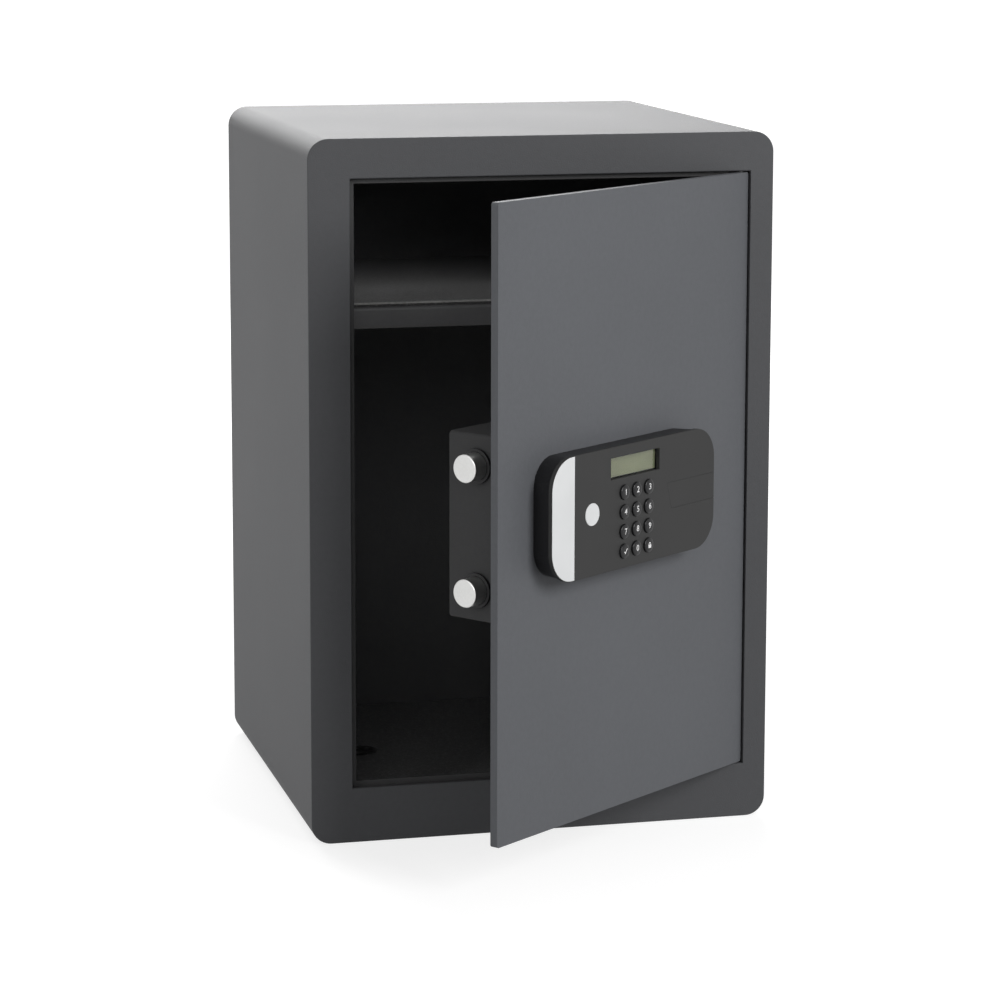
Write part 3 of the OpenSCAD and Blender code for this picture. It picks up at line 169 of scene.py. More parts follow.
class Field:
    """A value that varies over a surface. Sums on it add Math nodes to the finish it belongs to."""

    def __init__(self, finish, socket):
        self.finish = finish
        self.socket = socket

    def math(self, operation, *values):
        return self.finish.add("ShaderNodeMath", {"operation": operation}, dict(enumerate(values)))

    def __add__(self, other):
        return self.math("ADD", self, other)

    def __radd__(self, other):
        return self.math("ADD", other, self)

    def __sub__(self, other):
        return self.math("SUBTRACT", self, other)

    def __rsub__(self, other):
        return self.math("SUBTRACT", other, self)

    def __mul__(self, other):
        return self.math("MULTIPLY", self, other)

    def __rmul__(self, other):
        return self.math("MULTIPLY", other, self)

    def above(self, edge):
        """1 where the value is over an edge, and 0 elsewhere."""
        return self.math("GREATER_THAN", self, edge)

    def either(self, other):
        """1 where this mask or another one is 1."""
        return self.math("MAXIMUM", self, other)

    def sine(self):
        return self.math("SINE", self)

    def off(self, middle):
        """How far the value is from a middle, either way."""
        return self.math("ABSOLUTE", self - middle)


class Finish:
    """One material: a Principled shader and what feeds it."""

    def __init__(self, name, base, roughness, metallic=0.0, **even):
        self.name = name
        self.material = bpy.data.materials.new(name)
        self.material.use_nodes = True
        self.tree = self.material.node_tree
        self.tree.nodes.clear()
        self.shader = self.tree.nodes.new("ShaderNodeBsdfPrincipled")
        out = self.tree.nodes.new("ShaderNodeOutputMaterial")
        self.tree.links.new(self.shader.outputs[0], out.inputs["Surface"])
        self.base = tuple(base)
        self.set("Base Color", (*base, 1.0))
        self.set("Roughness", roughness)
        self.set("Metallic", metallic)
        for socket, value in even.items():
            self.set(socket.replace("_", " "), value)

    def feed(self, socket, value):
        if isinstance(value, Field):
            self.tree.links.new(value.socket, socket)
        else:
            socket.default_value = value

    def set(self, socket, value):
        self.feed(self.shader.inputs[socket], value)

    def add(self, kind, choices=None, values=None, output=0):
        """A node with these settings and inputs, as the Field of one output."""
        node = self.tree.nodes.new(kind)
        for choice, value in (choices or {}).items():
            setattr(node, choice, value)
        for socket, value in (values or {}).items():
            self.feed(node.inputs[socket], value)
        return Field(self, node.outputs[output])

    def place(self, stretch=(1, 1, 1), turn=(0, 0, 0)):
        """The point on the piece, turned and then stretched."""
        point = self.add("ShaderNodeTexCoord", output="Object")
        point = self.add("ShaderNodeMapping", {}, {"Vector": point, "Rotation": turn})
        return self.add("ShaderNodeMapping", {}, {"Vector": point, "Scale": stretch})

    def along(self, axis, point=None):
        """How far along X, Y or Z a point is."""
        return self.add("ShaderNodeSeparateXYZ", {}, {"Vector": point or self.place()}, axis)

    def grain(self, spots, detail=2.0, point=None, roughness=0.5):
        """Noise from 0 to 1, with that many spots to the metre."""
        values = {"Vector": point or self.place(), "Scale": spots, "Detail": detail, "Roughness": roughness}
        return self.add("ShaderNodeTexNoise", {}, values)

    def shade(self, amount, low, high):
        """The base colour, darkened to low and lightened to high by a value from 0 to 1."""
        dark, light = [[min(1.0, part * gain) for part in self.base] for gain in (low, high)]
        self.blend(amount, dark, light)

    def blend(self, amount, *colours):
        """The base colour, mixed by amount from two colours."""
        mix = self.tree.nodes.new("ShaderNodeMix")
        mix.data_type = "RGBA"
        self.feed(mix.inputs[0], amount)
        for socket, colour in zip((6, 7), colours):
            if isinstance(colour, bpy.types.NodeSocket):
                self.tree.links.new(colour, mix.inputs[socket])
            else:
                mix.inputs[socket].default_value = (*colour, 1.0)
        self.tree.links.new(mix.outputs[2], self.shader.inputs["Base Color"])

    def lay_over(self, mask, colour):
        """Another colour, laid over the one so far where the mask is 1."""
        self.blend(mask, self.shader.inputs["Base Color"].links[0].from_socket, colour)

    def emboss(self, height, strength, depth):
        values = {"Strength": strength, "Distance": depth, "Height": height}
        self.set("Normal", self.add("ShaderNodeBump", {}, values))


def powder_coat(name, colour, roughness, pebble=1.0, gloss=0.3):
    """Baked powder coat: a fine pebbled skin with slightly cloudy colour."""
    finish = Finish(name, colour, roughness, Specular_IOR_Level=gloss)
    pebbles = finish.grain(spots=1100)
    mottle = finish.grain(spots=260, detail=3.0)
    cloud = finish.grain(spots=9, detail=3.0)
    finish.shade(cloud * 0.4 + mottle * 0.35 + pebbles * 0.25, low=0.8, high=1.2)
    finish.set("Roughness", roughness - 0.06 + cloud * 0.06 + pebbles * 0.06)
    finish.emboss(pebbles + mottle * 0.5, strength=0.6 * pebble, depth=0.22 * MM)
    return finish


def painted_light_rear_coat(name, inner, outer, roughness):
    """Powder coat of the rear wall: the cabinet's colour on the wall's back, and a lighter colour on its
    inner face as painted light inside the safe.
    """
    finish = powder_coat(name, inner, roughness)
    low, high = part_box("back_panel")
    # Painted light: the inner face keeps the lighter colour, and the back of the wall gets the cabinet's
    # own colour
    finish.lay_over(finish.along("Y").above((low.y + high.y) / 2), outer)
    return finish


def felt_cloth(name, colour, highlight_colour, node):
    """Needled felt: tangled dark and light fibres, a soft sheen, and a painted highlight along its top
    front edge.
    """
    finish = Finish(name, colour, 0.95, Sheen_Weight=0.2, Sheen_Roughness=0.5)
    slanting = finish.place(stretch=(1, 2.2, 1), turn=(0, 0, 0.7))
    fibres = finish.grain(spots=1500, detail=4.0, point=slanting, roughness=0.7)
    tufts = finish.grain(spots=420, detail=3.0)
    flecks = finish.grain(spots=520, point=finish.place(stretch=(1, 0.5, 1))).above(0.58)
    finish.shade(fibres * 0.45 + tufts * 0.25 + flecks * 0.45, low=0.3, high=2.8)
    low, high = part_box(node)
    # Painted highlight: a light band on the felt's rounded top front edge, broken up by its tufts
    highlight_depth = 1.5 * MM
    highlight_height = 1.3 * MM
    at_front = 1 - finish.along("Y").above(low.y + highlight_depth)
    at_top = finish.along("Z").above(high.z - highlight_height)
    finish.lay_over(at_front * at_top * (0.35 + tufts * 0.8), highlight_colour)
    finish.emboss(fibres + tufts, strength=0.7, depth=0.5 * MM)
    return finish


def moulded_plastic(name, colour, roughness, texture=1.0, **even):
    """Injection moulded plastic with a spark-eroded texture. Oiled steel has the same fine skin."""
    finish = Finish(name, colour, roughness, **even)
    spark = finish.grain(spots=3200)
    cloud = finish.grain(spots=25)
    finish.shade(cloud, low=0.93, high=1.07)
    finish.set("Roughness", roughness - 0.05 + spark * 0.1)
    finish.emboss(spark, strength=0.12 * texture, depth=0.05 * MM)
    return finish


def brushed_metal(name, colour, roughness, stretch):
    """Metal with fine lines of grinding along one direction of the closed door."""
    finish = Finish(name, colour, roughness, metallic=1.0)
    lines = finish.grain(spots=700, detail=3.0, point=finish.place(stretch, turn=(0, 0, SHUT_TURN)))
    haze = finish.grain(spots=60)
    finish.shade(lines * 0.6 + haze * 0.4, low=0.86, high=1.1)
    finish.set("Roughness", roughness - 0.06 + lines * 0.12)
    finish.emboss(lines, strength=0.1, depth=0.03 * MM)
    return finish


def zinc_plate(name, colour):
    """Zinc plated steel with its faint spangle."""
    finish = Finish(name, colour, 0.36, metallic=0.95)
    crystals = {"Vector": finish.place(), "Scale": 260.0}
    spangle = finish.add("ShaderNodeTexVoronoi", {"feature": "F1"}, crystals)
    haze = finish.grain(spots=900)
    finish.shade(spangle * 0.8 + haze * 0.3, low=0.82, high=1.1)
    finish.set("Roughness", 0.3 + haze * 0.12)
    finish.emboss(haze, strength=0.08, depth=0.03 * MM)
    return finish


def circuit_board(name, colour):
    """Green solder mask over level copper tracks."""
    finish = Finish(name, colour, 0.35)
    track_pitch = 2.54 * MM
    tracks = (finish.along("Z") * (2 * math.pi / track_pitch)).sine().above(0.75)
    finish.shade(tracks * 0.7 + finish.grain(spots=180) * 0.3, low=0.8, high=1.5)
    finish.emboss(tracks, strength=0.2, depth=0.03 * MM)
    return finish


def display_cell(name, colour, border):
    """Unlit liquid crystal cell with its faint dot grid, in a black border round its edge."""
    finish = Finish(name, colour, 0.45)
    spot = finish.place(turn=(0, 0, SHUT_TURN))
    across = finish.along("X", spot)
    up = finish.along("Z", spot)
    dot_pitch = 0.55 * MM
    waves = 2 * math.pi / dot_pitch
    dots = (across * waves).sine() * (up * waves).sine()
    finish.shade(dots * 0.08 + finish.grain(spots=30) * 0.6 + 0.2, low=0.9, high=1.1)
    low, high = closed_box("lcd_window")
    middle = Matrix.Rotation(SHUT_TURN, 3, "Z") @ (OPENED @ ((low + high) / 2))
    half = (high - low) / 2
    beside = across.off(middle.x).above(half.x - border)
    over_and_under = up.off(middle.z).above(half.z - border)
    # A black band of even width round the display's edge
    border_black = (0.006, 0.006, 0.006)
    finish.lay_over(beside.either(over_and_under), border_black)
    return finish


def battery_wrap(name, colour):
    """Printed sleeve of a cell: a plain dark band above a copper one."""
    finish = Finish(name, colour, 0.3, metallic=0.6)
    low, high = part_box("batteries")
    copper_share = 0.3
    dark_band = finish.along("Z").above(low.z + (high.z - low.z) * copper_share)
    finish.shade(1 - dark_band, low=0.05, high=1.0)
    return finish


def make_finishes():
    """Every finish of the safe, under its name."""
    colours, sizes, _ = settings()
    finishes = (
        powder_coat("powder_coat", colours.body, 0.62),
        powder_coat("door_coat", colours.door, 0.6),
        painted_light_rear_coat("painted_light_rear_coat", colours.painted_light_inner_face, colours.body, 0.62),
        powder_coat("shelf_coat", colours.shelf, 0.55),
        powder_coat("inner_coat", colours.inside, 0.62, pebble=0.8, gloss=0.2),
        felt_cloth("felt", colours.felt, colours.felt_edge_highlight, "shelf_mat"),
        felt_cloth("floor_felt", colours.felt, colours.felt_edge_highlight, "floor_mat"),
        moulded_plastic("black_plastic", colours.black, 0.45, Specular_IOR_Level=0.3),
        moulded_plastic("fascia_plastic", colours.fascia, 0.58, Specular_IOR_Level=0.2),
        moulded_plastic("key_plastic", colours.keys, 0.28, 0.3, Specular_IOR_Level=0.25),
        moulded_plastic("key_print", colours.glyphs, 0.5, 0.3),
        moulded_plastic("silver_trim", colours.trim, 0.35, 0.6),
        moulded_plastic("clear_pane", (0.86, 0.88, 0.8), 0.06, 0.0, Transmission_Weight=1.0, IOR=1.49),
        display_cell("lcd_screen", colours.display, sizes.display_border),
        circuit_board("circuit_board", (0.02, 0.13, 0.05)),
        moulded_plastic("cable_grey", (0.3, 0.3, 0.31), 0.45),
        moulded_plastic("white_plastic", (0.75, 0.74, 0.7), 0.4),
        battery_wrap("battery_wrap", (0.55, 0.33, 0.12)),
        moulded_plastic("red_plastic", (0.5, 0.025, 0.018), 0.3, 0.3),
        moulded_plastic("oiled_steel", (0.05, 0.05, 0.052), 0.5, 0.5),
        brushed_metal("bright_steel", colours.steel, 0.3, stretch=(0.06, 1, 1)),
        brushed_metal("brass", (0.7, 0.5, 0.22), 0.32, stretch=(1, 0.08, 1)),
        zinc_plate("zinc_plated", (0.56, 0.57, 0.58)),
    )
    return {finish.name: finish for finish in finishes}


# Filled by main
FINISHES = {}


# Shaping


def deselect():
    if bpy.context.mode != "OBJECT":
        bpy.ops.object.mode_set(mode="OBJECT")
    bpy.ops.object.select_all(action="DESELECT")


def hold(*pieces):
    """These pieces selected, and the first one active."""
    deselect()
    for piece in pieces:
        piece.select_set(True)
    bpy.context.view_layer.objects.active = pieces[0]


def edit(piece, kind="FACE"):
    """Edit mode on the piece, with all of it selected."""
    hold(piece)
    bpy.ops.object.mode_set(mode="EDIT")
    bpy.ops.mesh.select_mode(type=kind)
    bpy.ops.mesh.select_all(action="SELECT")


def leave():
    bpy.ops.object.mode_set(mode="OBJECT")


def modify(piece, kind, **choices):
    """A modifier put on the piece and applied."""
    hold(piece)
    bpy.ops.object.modifier_add(type=kind)
    modifier = piece.modifiers[-1]
    for choice, value in choices.items():
        setattr(modifier, choice, value)
    bpy.ops.object.modifier_apply(modifier=modifier.name)
    return piece


def round_edges(piece, radius, segments=2):
    """Edges that turn by more than 35 degrees rounded, and the piece shaded smooth."""
    if radius > 0:
        modify(piece, "BEVEL", width=radius, segments=segments, limit_method="ANGLE",
               angle_limit=math.radians(35), use_clamp_overlap=True, harden_normals=False)
    hold(piece)
    bpy.ops.object.shade_smooth_by_angle(angle=math.radians(30))
    return modify(piece, "WEIGHTED_NORMAL", mode="FACE_AREA", weight=100, keep_sharp=True)


def clean(piece):
    """Points that meet made one, and faces in one plane joined."""
    edit(piece)
    bpy.ops.mesh.remove_doubles(threshold=0.002 * MM)
    bpy.ops.mesh.dissolve_limited(angle_limit=math.radians(0.3))
    leave()
    return piece


def copy_of(name, node):
    """A clean mesh with the shape of a CAD node, free of its body and marks."""
    hold(NODES[node])
    bpy.ops.object.duplicate()
    piece = bpy.context.view_layer.objects.active
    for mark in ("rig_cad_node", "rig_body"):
        if mark in piece:
            del piece[mark]
    bpy.ops.object.parent_clear(type="CLEAR_KEEP_TRANSFORM")
    piece.name = name
    return clean(piece)


def settle(piece, body, slot, *nodes, finish=None):
    """The piece gets its finish, rides on its body and stands for the CAD nodes.

    A print has a finish but no slot, because no CAD node has one for it.
    """
    piece.data.materials.clear()
    piece.data.materials.append(FINISHES[finish or slot].material)
    piece.data.name = piece.name
    if nodes:
        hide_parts(*nodes)
    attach(piece, body)
    return piece


def dress(name, node, radius, segments=2, finish=None):
    """A CAD node with its edges rounded and its slot's finish, or another one, on."""
    piece = round_edges(copy_of(name, node), radius, segments)
    return settle(piece, BODY_OF[node], SLOT_OF[node], node, finish=finish)


def box_round(points):
    """Lowest and highest corner of the box round some points."""
    low = Vector([min(point[axis] for point in points) for axis in range(3)])
    high = Vector([max(point[axis] for point in points) for axis in range(3)])
    return low, high


def closed_points(node):
    """Where the corners of a door node lie with the door shut."""
    shut = OPENED.inverted()
    return [shut @ vertex.co for vertex in NODES[node].data.vertices]


def closed_box(node):
    return box_round(closed_points(node))


def rounded_rings(radius, height, run, rise, steps):
    """Rings of a quarter ellipse from that radius and height, going in by run and up by rise."""
    angles = [math.pi / 2 * step / steps for step in range(steps + 1)]
    return [(radius - run * (1 - math.cos(angle)), height + rise * math.sin(angle)) for angle in angles]


def turned(name, rings, around=48):
    """A turned piece standing on Z, from (radius, height) rings, closed at both ends."""
    deselect()
    radius, height = rings[0]
    bpy.ops.mesh.primitive_circle_add(
        vertices=around, radius=radius, fill_type="NGON", location=(0, 0, height)
    )
    piece = bpy.context.view_layer.objects.active
    piece.name = name
    bpy.ops.object.transform_apply(location=True, rotation=True, scale=True)
    edit(piece)
    for next_radius, next_height in rings[1:]:
        bpy.ops.mesh.extrude_region_move(TRANSFORM_OT_translate={"value": (0, 0, next_height - height)})
        share = next_radius / radius
        bpy.ops.transform.resize(value=(share, share, 1), center_override=(0, 0, next_height))
        radius, height = next_radius, next_height
    bpy.ops.mesh.select_all(action="SELECT")
    bpy.ops.mesh.normals_make_consistent(inside=False)
    leave()
    return piece


def stand(piece, matrix):
    """The piece's mesh put in its place, with its object left at the origin."""
    piece.data.transform(matrix)
    piece.data.update()
    return piece


def on_door(point, tilt):
    """Matrix that tilts about X, moves to a point of the closed door, and opens with the door."""
    return OPENED @ Matrix.Translation(point) @ Matrix.Rotation(tilt, 4, "X")


# Pieces


class SAFE_OT_cabinet(bpy.types.Operator):
    """Welded body: wrap and face plate as one coated shell, and the rear wall"""

    bl_idname = "safe.cabinet"
    bl_label = "Cabinet"

    def execute(self, context):
        sizes = settings()[1]
        body = copy_of("cabinet_body", "outer_wrap")
        plate = copy_of("face_plate", "front_frame")
        modify(body, "BOOLEAN", operation="UNION", solver="EXACT", object=plate)
        bpy.data.objects.remove(plate)
        round_edges(clean(body), sizes.fold_edge, 3)
        settle(body, "cabinet", "powder_coat", "outer_wrap", "front_frame")
        dress("rear_wall", "back_panel", sizes.sheet_edge, finish="painted_light_rear_coat")
        return {"FINISHED"}


class SAFE_OT_inside(bpy.types.Operator):
    """Jamb, floor, rails, shelf and the felt on them"""

    bl_idname = "safe.inside"
    bl_label = "Inside"

    def execute(self, context):
        sizes = settings()[1]
        for name, node in (
            ("jamb_and_stop", "door_stop_frame"),
            ("hinge_side_jamb", "hinge_jamb"),
            ("raised_floor", "floor_pan"),
            ("left_rail", "shelf_rail_left"),
            ("right_rail", "shelf_rail_right"),
            ("upper_bearing", "hinge_bearing_top"),
            ("lower_bearing", "hinge_bearing_bottom"),
        ):
            dress(name, node, sizes.sheet_edge)
        dress("oiled_washer", "thrust_washer", sizes.sheet_edge, finish="oiled_steel")
        dress("steel_shelf", "shelf", sizes.sheet_edge, finish="shelf_coat")
        for name, node, finish, under in (
            ("shelf_felt", "shelf_mat", "felt", "shelf"),
            ("floor_felt", "floor_mat", "floor_felt", "floor_pan"),
        ):
            cut = dress(name, node, sizes.felt_edge, 3, finish)
        return {"FINISHED"}


class SAFE_OT_door(bpy.types.Operator):
    """Door plate and its two pins"""

    bl_idname = "safe.door"
    bl_label = "Door"

    def execute(self, context):
        sizes = settings()[1]
        dress("steel_door", "door_plate", sizes.door_edge, 3)
        dress("door_pins", "hinge_pins", sizes.sheet_edge, finish="oiled_steel")
        return {"FINISHED"}


class SAFE_OT_keypad(bpy.types.Operator):
    """Keypad's body, face, trim, badge disc, display and the cover over the lock"""

    bl_idname = "safe.keypad"
    bl_label = "Keypad"

    def execute(self, context):
        sizes = settings()[1]
        dress("keypad_body", "panel_base", sizes.moulded_edge)
        # Each piece, its CAD node and the radius of its edges in millimetres
        for name, node, radius in (
            ("keypad_face", "panel_fascia", 0.4),
            ("end_trim", "silver_trim", 0.35),
            ("lock_slide_cover", "override_cover", 0.5),
            ("plain_disc", "badge_disc", 0.3),
            ("display_pane", "lcd_window", 0.1),
            ("display_cell", "lcd_screen", 0.1),
        ):
            dress(name, node, radius * MM)
        return {"FINISHED"}


def check_mark():
    """A tick about 1 high, drawn point after point as one outline and filled."""
    deselect()
    bpy.ops.mesh.primitive_plane_add(size=1)
    tick = bpy.context.view_layer.objects.active
    edit(tick, kind="VERT")
    bpy.ops.mesh.merge(type="CENTER")
    outline = [(-0.42, -0.06), (-0.16, -0.4), (0.44, 0.34), (0.33, 0.43), (-0.17, -0.18), (-0.31, 0.03)]
    bpy.ops.transform.translate(value=(*outline[0], 0))
    for (x, y), (next_x, next_y) in zip(outline, outline[1:]):
        bpy.ops.mesh.extrude_vertices_move(TRANSFORM_OT_translate={"value": (next_x - x, next_y - y, 0)})
    bpy.ops.mesh.select_all(action="SELECT")
    bpy.ops.mesh.edge_face_add()
    leave()
    return tick


def padlock_mark():
    """A padlock about 1 high: a body, and a flat bow that ends on its upper edge."""
    deselect()
    bow_centre = (0, 0.16, 0)
    bow_radius = 0.255
    bow_hole_share = 0.57
    bow_stretch = 1.15
    body_centre = (0, -0.16, 0)
    body_width = 0.66
    body_height = 0.5
    bpy.ops.mesh.primitive_circle_add(
        vertices=24, radius=bow_radius, fill_type="NOTHING", location=bow_centre
    )
    lock = bpy.context.view_layer.objects.active
    bpy.ops.object.transform_apply(location=True, rotation=True, scale=True)
    edit(lock, kind="EDGE")
    bpy.ops.mesh.extrude_region_move()
    bpy.ops.transform.resize(value=(bow_hole_share, bow_hole_share, 1), center_override=bow_centre)
    bpy.ops.mesh.select_all(action="SELECT")
    bpy.ops.transform.resize(value=(1, bow_stretch, 1), center_override=bow_centre)
    body_top = body_centre[1] + body_height / 2
    bpy.ops.mesh.bisect(plane_co=(0, body_top, 0), plane_no=(0, 1, 0), clear_inner=True)
    bpy.ops.mesh.select_all(action="DESELECT")
    bpy.ops.mesh.primitive_plane_add(size=1, location=body_centre)
    bpy.ops.transform.resize(value=(body_width, body_height, 1), center_override=body_centre)
    leave()
    return lock


def number_mark(text):
    """A number in type of size 1, its strokes a little thickened."""
    deselect()
    bpy.ops.object.text_add()
    mark = bpy.context.view_layer.objects.active
    mark.data.body = text
    mark.data.align_x = "CENTER"
    mark.data.align_y = "CENTER"
    mark.data.resolution_u = 3
    mark.data.offset = 0.012
    bpy.ops.object.convert(target="MESH")
    return bpy.context.view_layer.objects.active


def print_mark(mark, name, height, thickness):
    """A flat mark made a thin printed layer of that height, lying on Z = 0."""
    mark.name = name
    hold(mark)
    bpy.ops.object.transform_apply(location=True, rotation=True, scale=True)
    edit(mark)
    bpy.ops.mesh.remove_doubles(threshold=0.0001)
    bpy.ops.transform.resize(value=(height, height, height), center_override=(0, 0, 0))
    leave()
    for face in mark.data.polygons:
        face.select = face.normal.z < 0
    bpy.ops.object.mode_set(mode="EDIT")
    bpy.ops.mesh.flip_normals()
    leave()
    modify(mark, "SOLIDIFY", thickness=thickness, offset=1)
    low = min(vertex.co.z for vertex in mark.data.vertices)
    return stand(mark, Matrix.Translation((0, 0, -low)))


def key_rings():
    """A key from its foot up: stem, the flange held behind the keypad's face, and domed head."""
    low, high = closed_box("key_5")
    depth = high.y - low.y
    stem_r = 2.5 * MM
    flange_r = (high.x - low.x) / 2
    flange_t = 0.8 * MM
    flange_gap = 0.15 * MM
    flange_top = high.y - closed_box("panel_fascia")[1].y - flange_gap
    head_r = flange_r - 1 * MM
    dome_run = 2.6 * MM
    dome_rise = 0.8 * MM
    tip_r = 0.2 * MM
    tip_rise = 0.01 * MM
    return [
        (stem_r, 0), (stem_r, flange_top - flange_t),
        (flange_r, flange_top - flange_t), (flange_r, flange_top), (head_r, flange_top),
        *rounded_rings(head_r, depth - dome_rise - tip_rise, dome_run, dome_rise, 6), (tip_r, depth),
    ]


class SAFE_OT_keys(bpy.types.Operator):
    """Twelve domed keys with a printed number or sign each"""

    bl_idname = "safe.keys"
    bl_label = "Keys"

    def execute(self, context):
        sizes = settings()[1]
        rings = key_rings()
        drawn = {"enter": check_mark, "lock": padlock_mark}
        drawn_height = sizes.glyph * 0.78
        print_sink = 0.02 * MM
        for sign in SIGNS:
            node = "key_" + sign
            low, high = closed_box(node)
            middle = (low + high) / 2
            key = turned("cap_" + sign, rings)
            round_edges(key, 0)
            stand(key, on_door((middle.x, high.y, middle.z), TO_FRONT))
            settle(key, BODY_OF[node], "key_plastic", node)
            mark = drawn[sign]() if sign in drawn else number_mark(sign)
            height = drawn_height if sign in drawn else sizes.glyph
            mark = print_mark(mark, "print_" + sign, height, sizes.print)
            stand(mark, on_door((middle.x, low.y + print_sink, middle.z), TO_FRONT))
            settle(mark, BODY_OF[node], "key_print")
        return {"FINISHED"}


def cross_screw(name, head_r, head_h, shank_r, shank_l):
    """A pan-head screw with a cross recess, its head's seat at Z = 0."""
    tip_r = shank_r * 0.7
    tip_l = shank_r * 0.5
    screw = turned(name, [
        (tip_r, -shank_l), (shank_r, tip_l - shank_l), (shank_r, 0), (head_r, 0),
        *rounded_rings(head_r, head_h / 2, head_r / 2, head_h / 2, 3),
    ], around=32)
    recess = (head_r * 1.1, head_r * 0.24, head_h * 1.1)
    for turn in (0, 90):
        deselect()
        bpy.ops.mesh.primitive_cube_add(size=1, location=(0, 0, head_h))
        bit = bpy.context.view_layer.objects.active
        bpy.ops.transform.resize(value=recess, center_override=(0, 0, head_h))
        bpy.ops.object.transform_apply(location=True, rotation=True, scale=True)
        stand(bit, Matrix.Rotation(math.radians(turn), 4, "Z"))
        modify(screw, "BOOLEAN", operation="DIFFERENCE", solver="EXACT", object=bit)
        bpy.data.objects.remove(bit)
    return round_edges(screw, 0)


def screw_set(name, node, head_r, head_h, shank_r):
    """Four screws of one kind, copied to where the CAD node has its screws."""
    points = closed_points(node)
    low, high = box_round(points)
    middle = (low + high) / 2
    seat_y = high.y - head_h
    first = cross_screw(name, head_r, head_h, shank_r, seat_y - low.y)
    copies = []
    for side_x in (-1, 1):
        for side_z in (-1, 1):
            own = [p for p in points if (p.x - middle.x) * side_x > 0 and (p.z - middle.z) * side_z > 0]
            own_low, own_high = box_round(own)
            own_middle = (own_low + own_high) / 2
            hold(first)
            bpy.ops.object.duplicate()
            copy = bpy.context.view_layer.objects.active
            stand(copy, on_door((own_middle.x, seat_y, own_middle.z), TO_BACK))
            copies.append(copy)
    bpy.data.objects.remove(first)
    hold(*copies)
    bpy.ops.object.join()
    copies[0].name = name
    settle(copies[0], BODY_OF[node], SLOT_OF[node], node)


class SAFE_OT_lock_case(bpy.types.Operator):
    """Folded lock case with its bushes, and the screws of the case and the keypad"""

    bl_idname = "safe.lock_case"
    bl_label = "Lock case"

    def execute(self, context):
        sizes = settings()[1]
        dress("folded_case", "lock_case", sizes.sheet_edge)
        dress("bolt_collars", "bolt_bushes", 0.6 * MM)
        screw_set("case_fixings", "case_screws", head_r=4 * MM, head_h=2.4 * MM, shank_r=2 * MM)
        screw_set("keypad_fixings", "panel_screws", head_r=3 * MM, head_h=2 * MM, shank_r=1.5 * MM)
        return {"FINISHED"}


class SAFE_OT_bolts(bpy.types.Operator):
    """Two turned bolts with a polished, chamfered end"""

    bl_idname = "safe.bolts"
    bl_label = "Bolts"

    def execute(self, context):
        for name, node in (("upper_bolt", "bolt_upper"), ("lower_bolt", "bolt_lower")):
            dress(name, node, 0.25 * MM)
        return {"FINISHED"}


class SAFE_OT_works(bpy.types.Operator):
    """What the lock case and the keypad hold: drive, emergency lock, boards and cells"""

    bl_idname = "safe.works"
    bl_label = "Works"

    def execute(self, context):
        # Each piece, its CAD node and the radius of its edges in millimetres
        for name, node, radius in (
            ("joining_bar", "bolt_bar", 0.3),
            ("toothed_rack", "bolt_rack", 0.1),
            ("steel_plate", "mounting_plate", 0.3),
            ("rack_slides", "rack_guides", 0.3),
            ("motor_and_gearbox", "gear_motor", 0.5),
            ("brass_gear", "drive_gear", 0.05),
            ("lock_housing", "override_lock", 0.3),
            ("lock_fixing_nut", "lock_nut", 0.3),
            ("lock_barrel", "key_barrel", 0.15),
            ("lock_barrel_cam", "lock_cam", 0.3),
            ("keypad_circuit", "key_board", 0.1),
            ("flat_cable", "keypad_cable", 0.1),
            ("lock_circuit", "control_board", 0.1),
            ("circuit_spacers", "board_spacers", 0.1),
            ("cell_holder", "battery_box", 0.3),
            ("cells", "batteries", 0.3),
            ("cell_cover", "battery_cover", 0.2),
            ("set_switch", "reset_switch", 0.3),
            ("red_set_button", "reset_button", 0.4),
        ):
            dress(name, node, radius * MM)
        return {"FINISHED"}


# Studio


def rays_to_background(tree):
    """1 for camera, glossy and transmission rays, which all see the same white background."""
    path = tree.nodes.new("ShaderNodeLightPath")
    seen = path.outputs["Is Camera Ray"]
    for kind in ("Is Glossy Ray", "Is Transmission Ray"):
        either = tree.nodes.new("ShaderNodeMath")
        either.operation = "MAXIMUM"
        tree.links.new(seen, either.inputs[0])
        tree.links.new(path.outputs[kind], either.inputs[1])
        seen = either.outputs[0]
    return seen


def studio_floor():
    """A floor that reads as white, fades into the backdrop and keeps the safe's shadow."""
    deselect()
    bpy.ops.mesh.primitive_plane_add(size=60, location=(0, 0, -0.3 * MM))
    floor = bpy.context.view_layer.objects.active
    floor.name = "studio_floor"
    paint = Finish("studio_floor", (0.35, 0.35, 0.35), 0.9)
    spot = paint.add("ShaderNodeTexCoord", output="Object")
    away = paint.add("ShaderNodeVectorMath", {"operation": "LENGTH"}, {0: spot}, 1)
    seen = Field(paint, rays_to_background(paint.tree))
    glow_at_safe = 0.74
    glow_per_metre = 0.07
    glow = away * glow_per_metre + glow_at_safe
    paint.set("Emission Color", (1, 1, 1, 1))
    paint.set("Emission Strength", seen * glow.math("MINIMUM", glow, 1.0))
    floor.data.materials.append(paint.material)


def background(tree, strength):
    """A white background of that strength."""
    node = tree.nodes.new("ShaderNodeBackground")
    node.inputs["Color"].default_value = (1, 1, 1, 1)
    node.inputs["Strength"].default_value = strength
    return node.outputs[0]


def white_world():
    """White to the camera and in reflections, and a plain soft fill on the safe."""
    world = bpy.data.worlds.new("studio")
    bpy.context.scene.world = world
    world.use_nodes = True
    tree = world.node_tree
    tree.nodes.clear()
    either = tree.nodes.new("ShaderNodeMixShader")
    out = tree.nodes.new("ShaderNodeOutputWorld")
    tree.links.new(rays_to_background(tree), either.inputs[0])
    tree.links.new(background(tree, 0.18), either.inputs[1])
    tree.links.new(background(tree, 1.0), either.inputs[2])
    tree.links.new(either.outputs[0], out.inputs["Surface"])


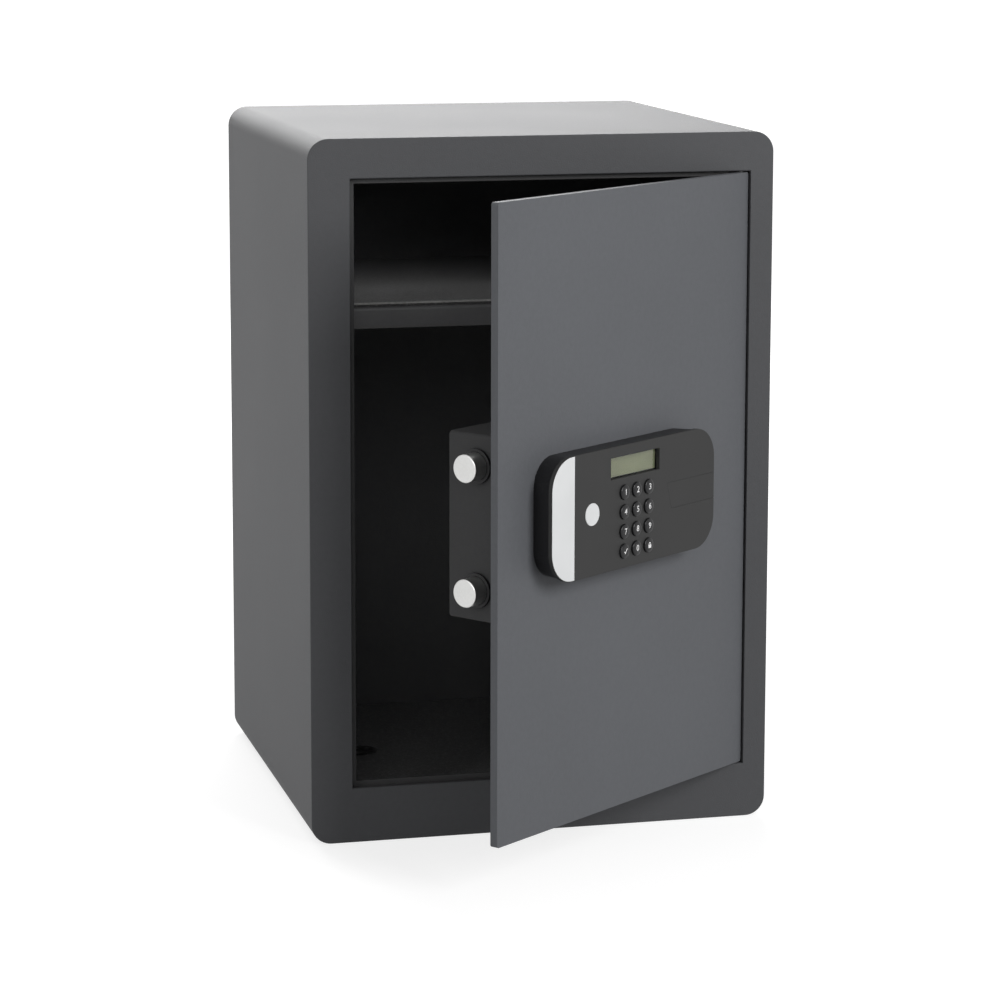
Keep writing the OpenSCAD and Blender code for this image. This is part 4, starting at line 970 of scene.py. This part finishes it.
def softbox(name, place, target, width, height, power):
    deselect()
    bpy.ops.object.light_add(type="AREA", location=place)
    lamp = bpy.context.view_layer.objects.active
    lamp.name = name
    lamp.data.shape = "RECTANGLE"
    lamp.data.size = width
    lamp.data.size_y = height
    lamp.data.energy = power
    lamp.visible_camera = False
    lamp.rotation_euler = (Vector(target) - Vector(place)).to_track_quat("-Z", "Y").to_euler()


def stand_camera(studio):
    """The camera where the photograph was taken from."""
    camera = bpy.data.cameras.new("camera")
    camera.lens = studio.lens
    camera.sensor_width = 36
    camera.sensor_fit = "HORIZONTAL"
    camera.shift_y = studio.lift
    camera.clip_end = 200
    stand_at = bpy.data.objects.new("camera", camera)
    bpy.context.scene.collection.objects.link(stand_at)
    flat = math.cos(studio.pitch)
    ahead = Vector((math.sin(studio.yaw) * flat, math.cos(studio.yaw) * flat, -math.sin(studio.pitch)))
    level = Vector((math.cos(studio.yaw), -math.sin(studio.yaw), 0))
    above = level.cross(ahead)
    right = level * math.cos(studio.roll) + above * math.sin(studio.roll)
    up = above * math.cos(studio.roll) - level * math.sin(studio.roll)
    turn = Matrix((right, up, -ahead)).transposed().to_4x4()
    stand_at.matrix_world = Matrix.Translation(Vector(studio.place)) @ turn
    bpy.context.scene.camera = stand_at


class SAFE_OT_studio(bpy.types.Operator):
    """Pale floor, soft light and the camera"""

    bl_idname = "safe.studio"
    bl_label = "Studio"

    def execute(self, context):
        stand_camera(settings()[2])
        studio_floor()
        white_world()
        # Each lamp, where it stands, what it points at, its width and height in metres, and its watts
        for name, place, target, width, height, power in (
            ("rear_softbox", (0, 2.6, 1.5), (0, 0, 0.45), 2.4, 1.4, 73),
            ("left_softbox", (-2.4, -1.8, 1.2), (0, 0, 0.25), 1.2, 1.8, 20),
            ("front_softbox", (-0.6, -2.9, 1.7), (0, 0, 0.25), 1.6, 1.2, 10),
            ("right_softbox", (1.2, -2.3, 1.35), (0, 0, 0.4), 1.0, 1.2, 49),
        ):
            softbox(name, place, target, width, height, power)
        context.scene.view_settings.view_transform = "Standard"
        return {"FINISHED"}


class SAFE_PT_panel(bpy.types.Panel):
    """Every group of the safe's pieces, in the order they are made"""

    bl_label = "Safe"
    bl_space_type = "VIEW_3D"
    bl_region_type = "UI"
    bl_category = "Safe"

    def draw(self, context):
        for group in (context.scene.safe_colours, context.scene.safe_sizes, context.scene.safe_studio):
            box = self.layout.box()
            for value in group.__annotations__:
                box.prop(group, value)
        for step in STEPS:
            self.layout.operator(step.bl_idname)


STEPS = (
    SAFE_OT_cabinet,
    SAFE_OT_inside,
    SAFE_OT_door,
    SAFE_OT_keypad,
    SAFE_OT_keys,
    SAFE_OT_lock_case,
    SAFE_OT_bolts,
    SAFE_OT_works,
    SAFE_OT_studio,
)
GROUPS = {"safe_colours": SafeColours, "safe_sizes": SafeSizes, "safe_studio": SafeStudio}


def register():
    for kind in (*GROUPS.values(), *STEPS, SAFE_PT_panel):
        bpy.utils.register_class(kind)
    for name, kind in GROUPS.items():
        setattr(bpy.types.Scene, name, PointerProperty(type=kind))


def unregister():
    for name in GROUPS:
        delattr(bpy.types.Scene, name)
    for kind in (SAFE_PT_panel, *reversed(STEPS), *reversed(GROUPS.values())):
        bpy.utils.unregister_class(kind)


def main():
    register()
    FINISHES.update(make_finishes())
    for step in STEPS:
        getattr(bpy.ops.safe, step.bl_idname.split(".")[1])()


if __name__ == "__main__":
    main()
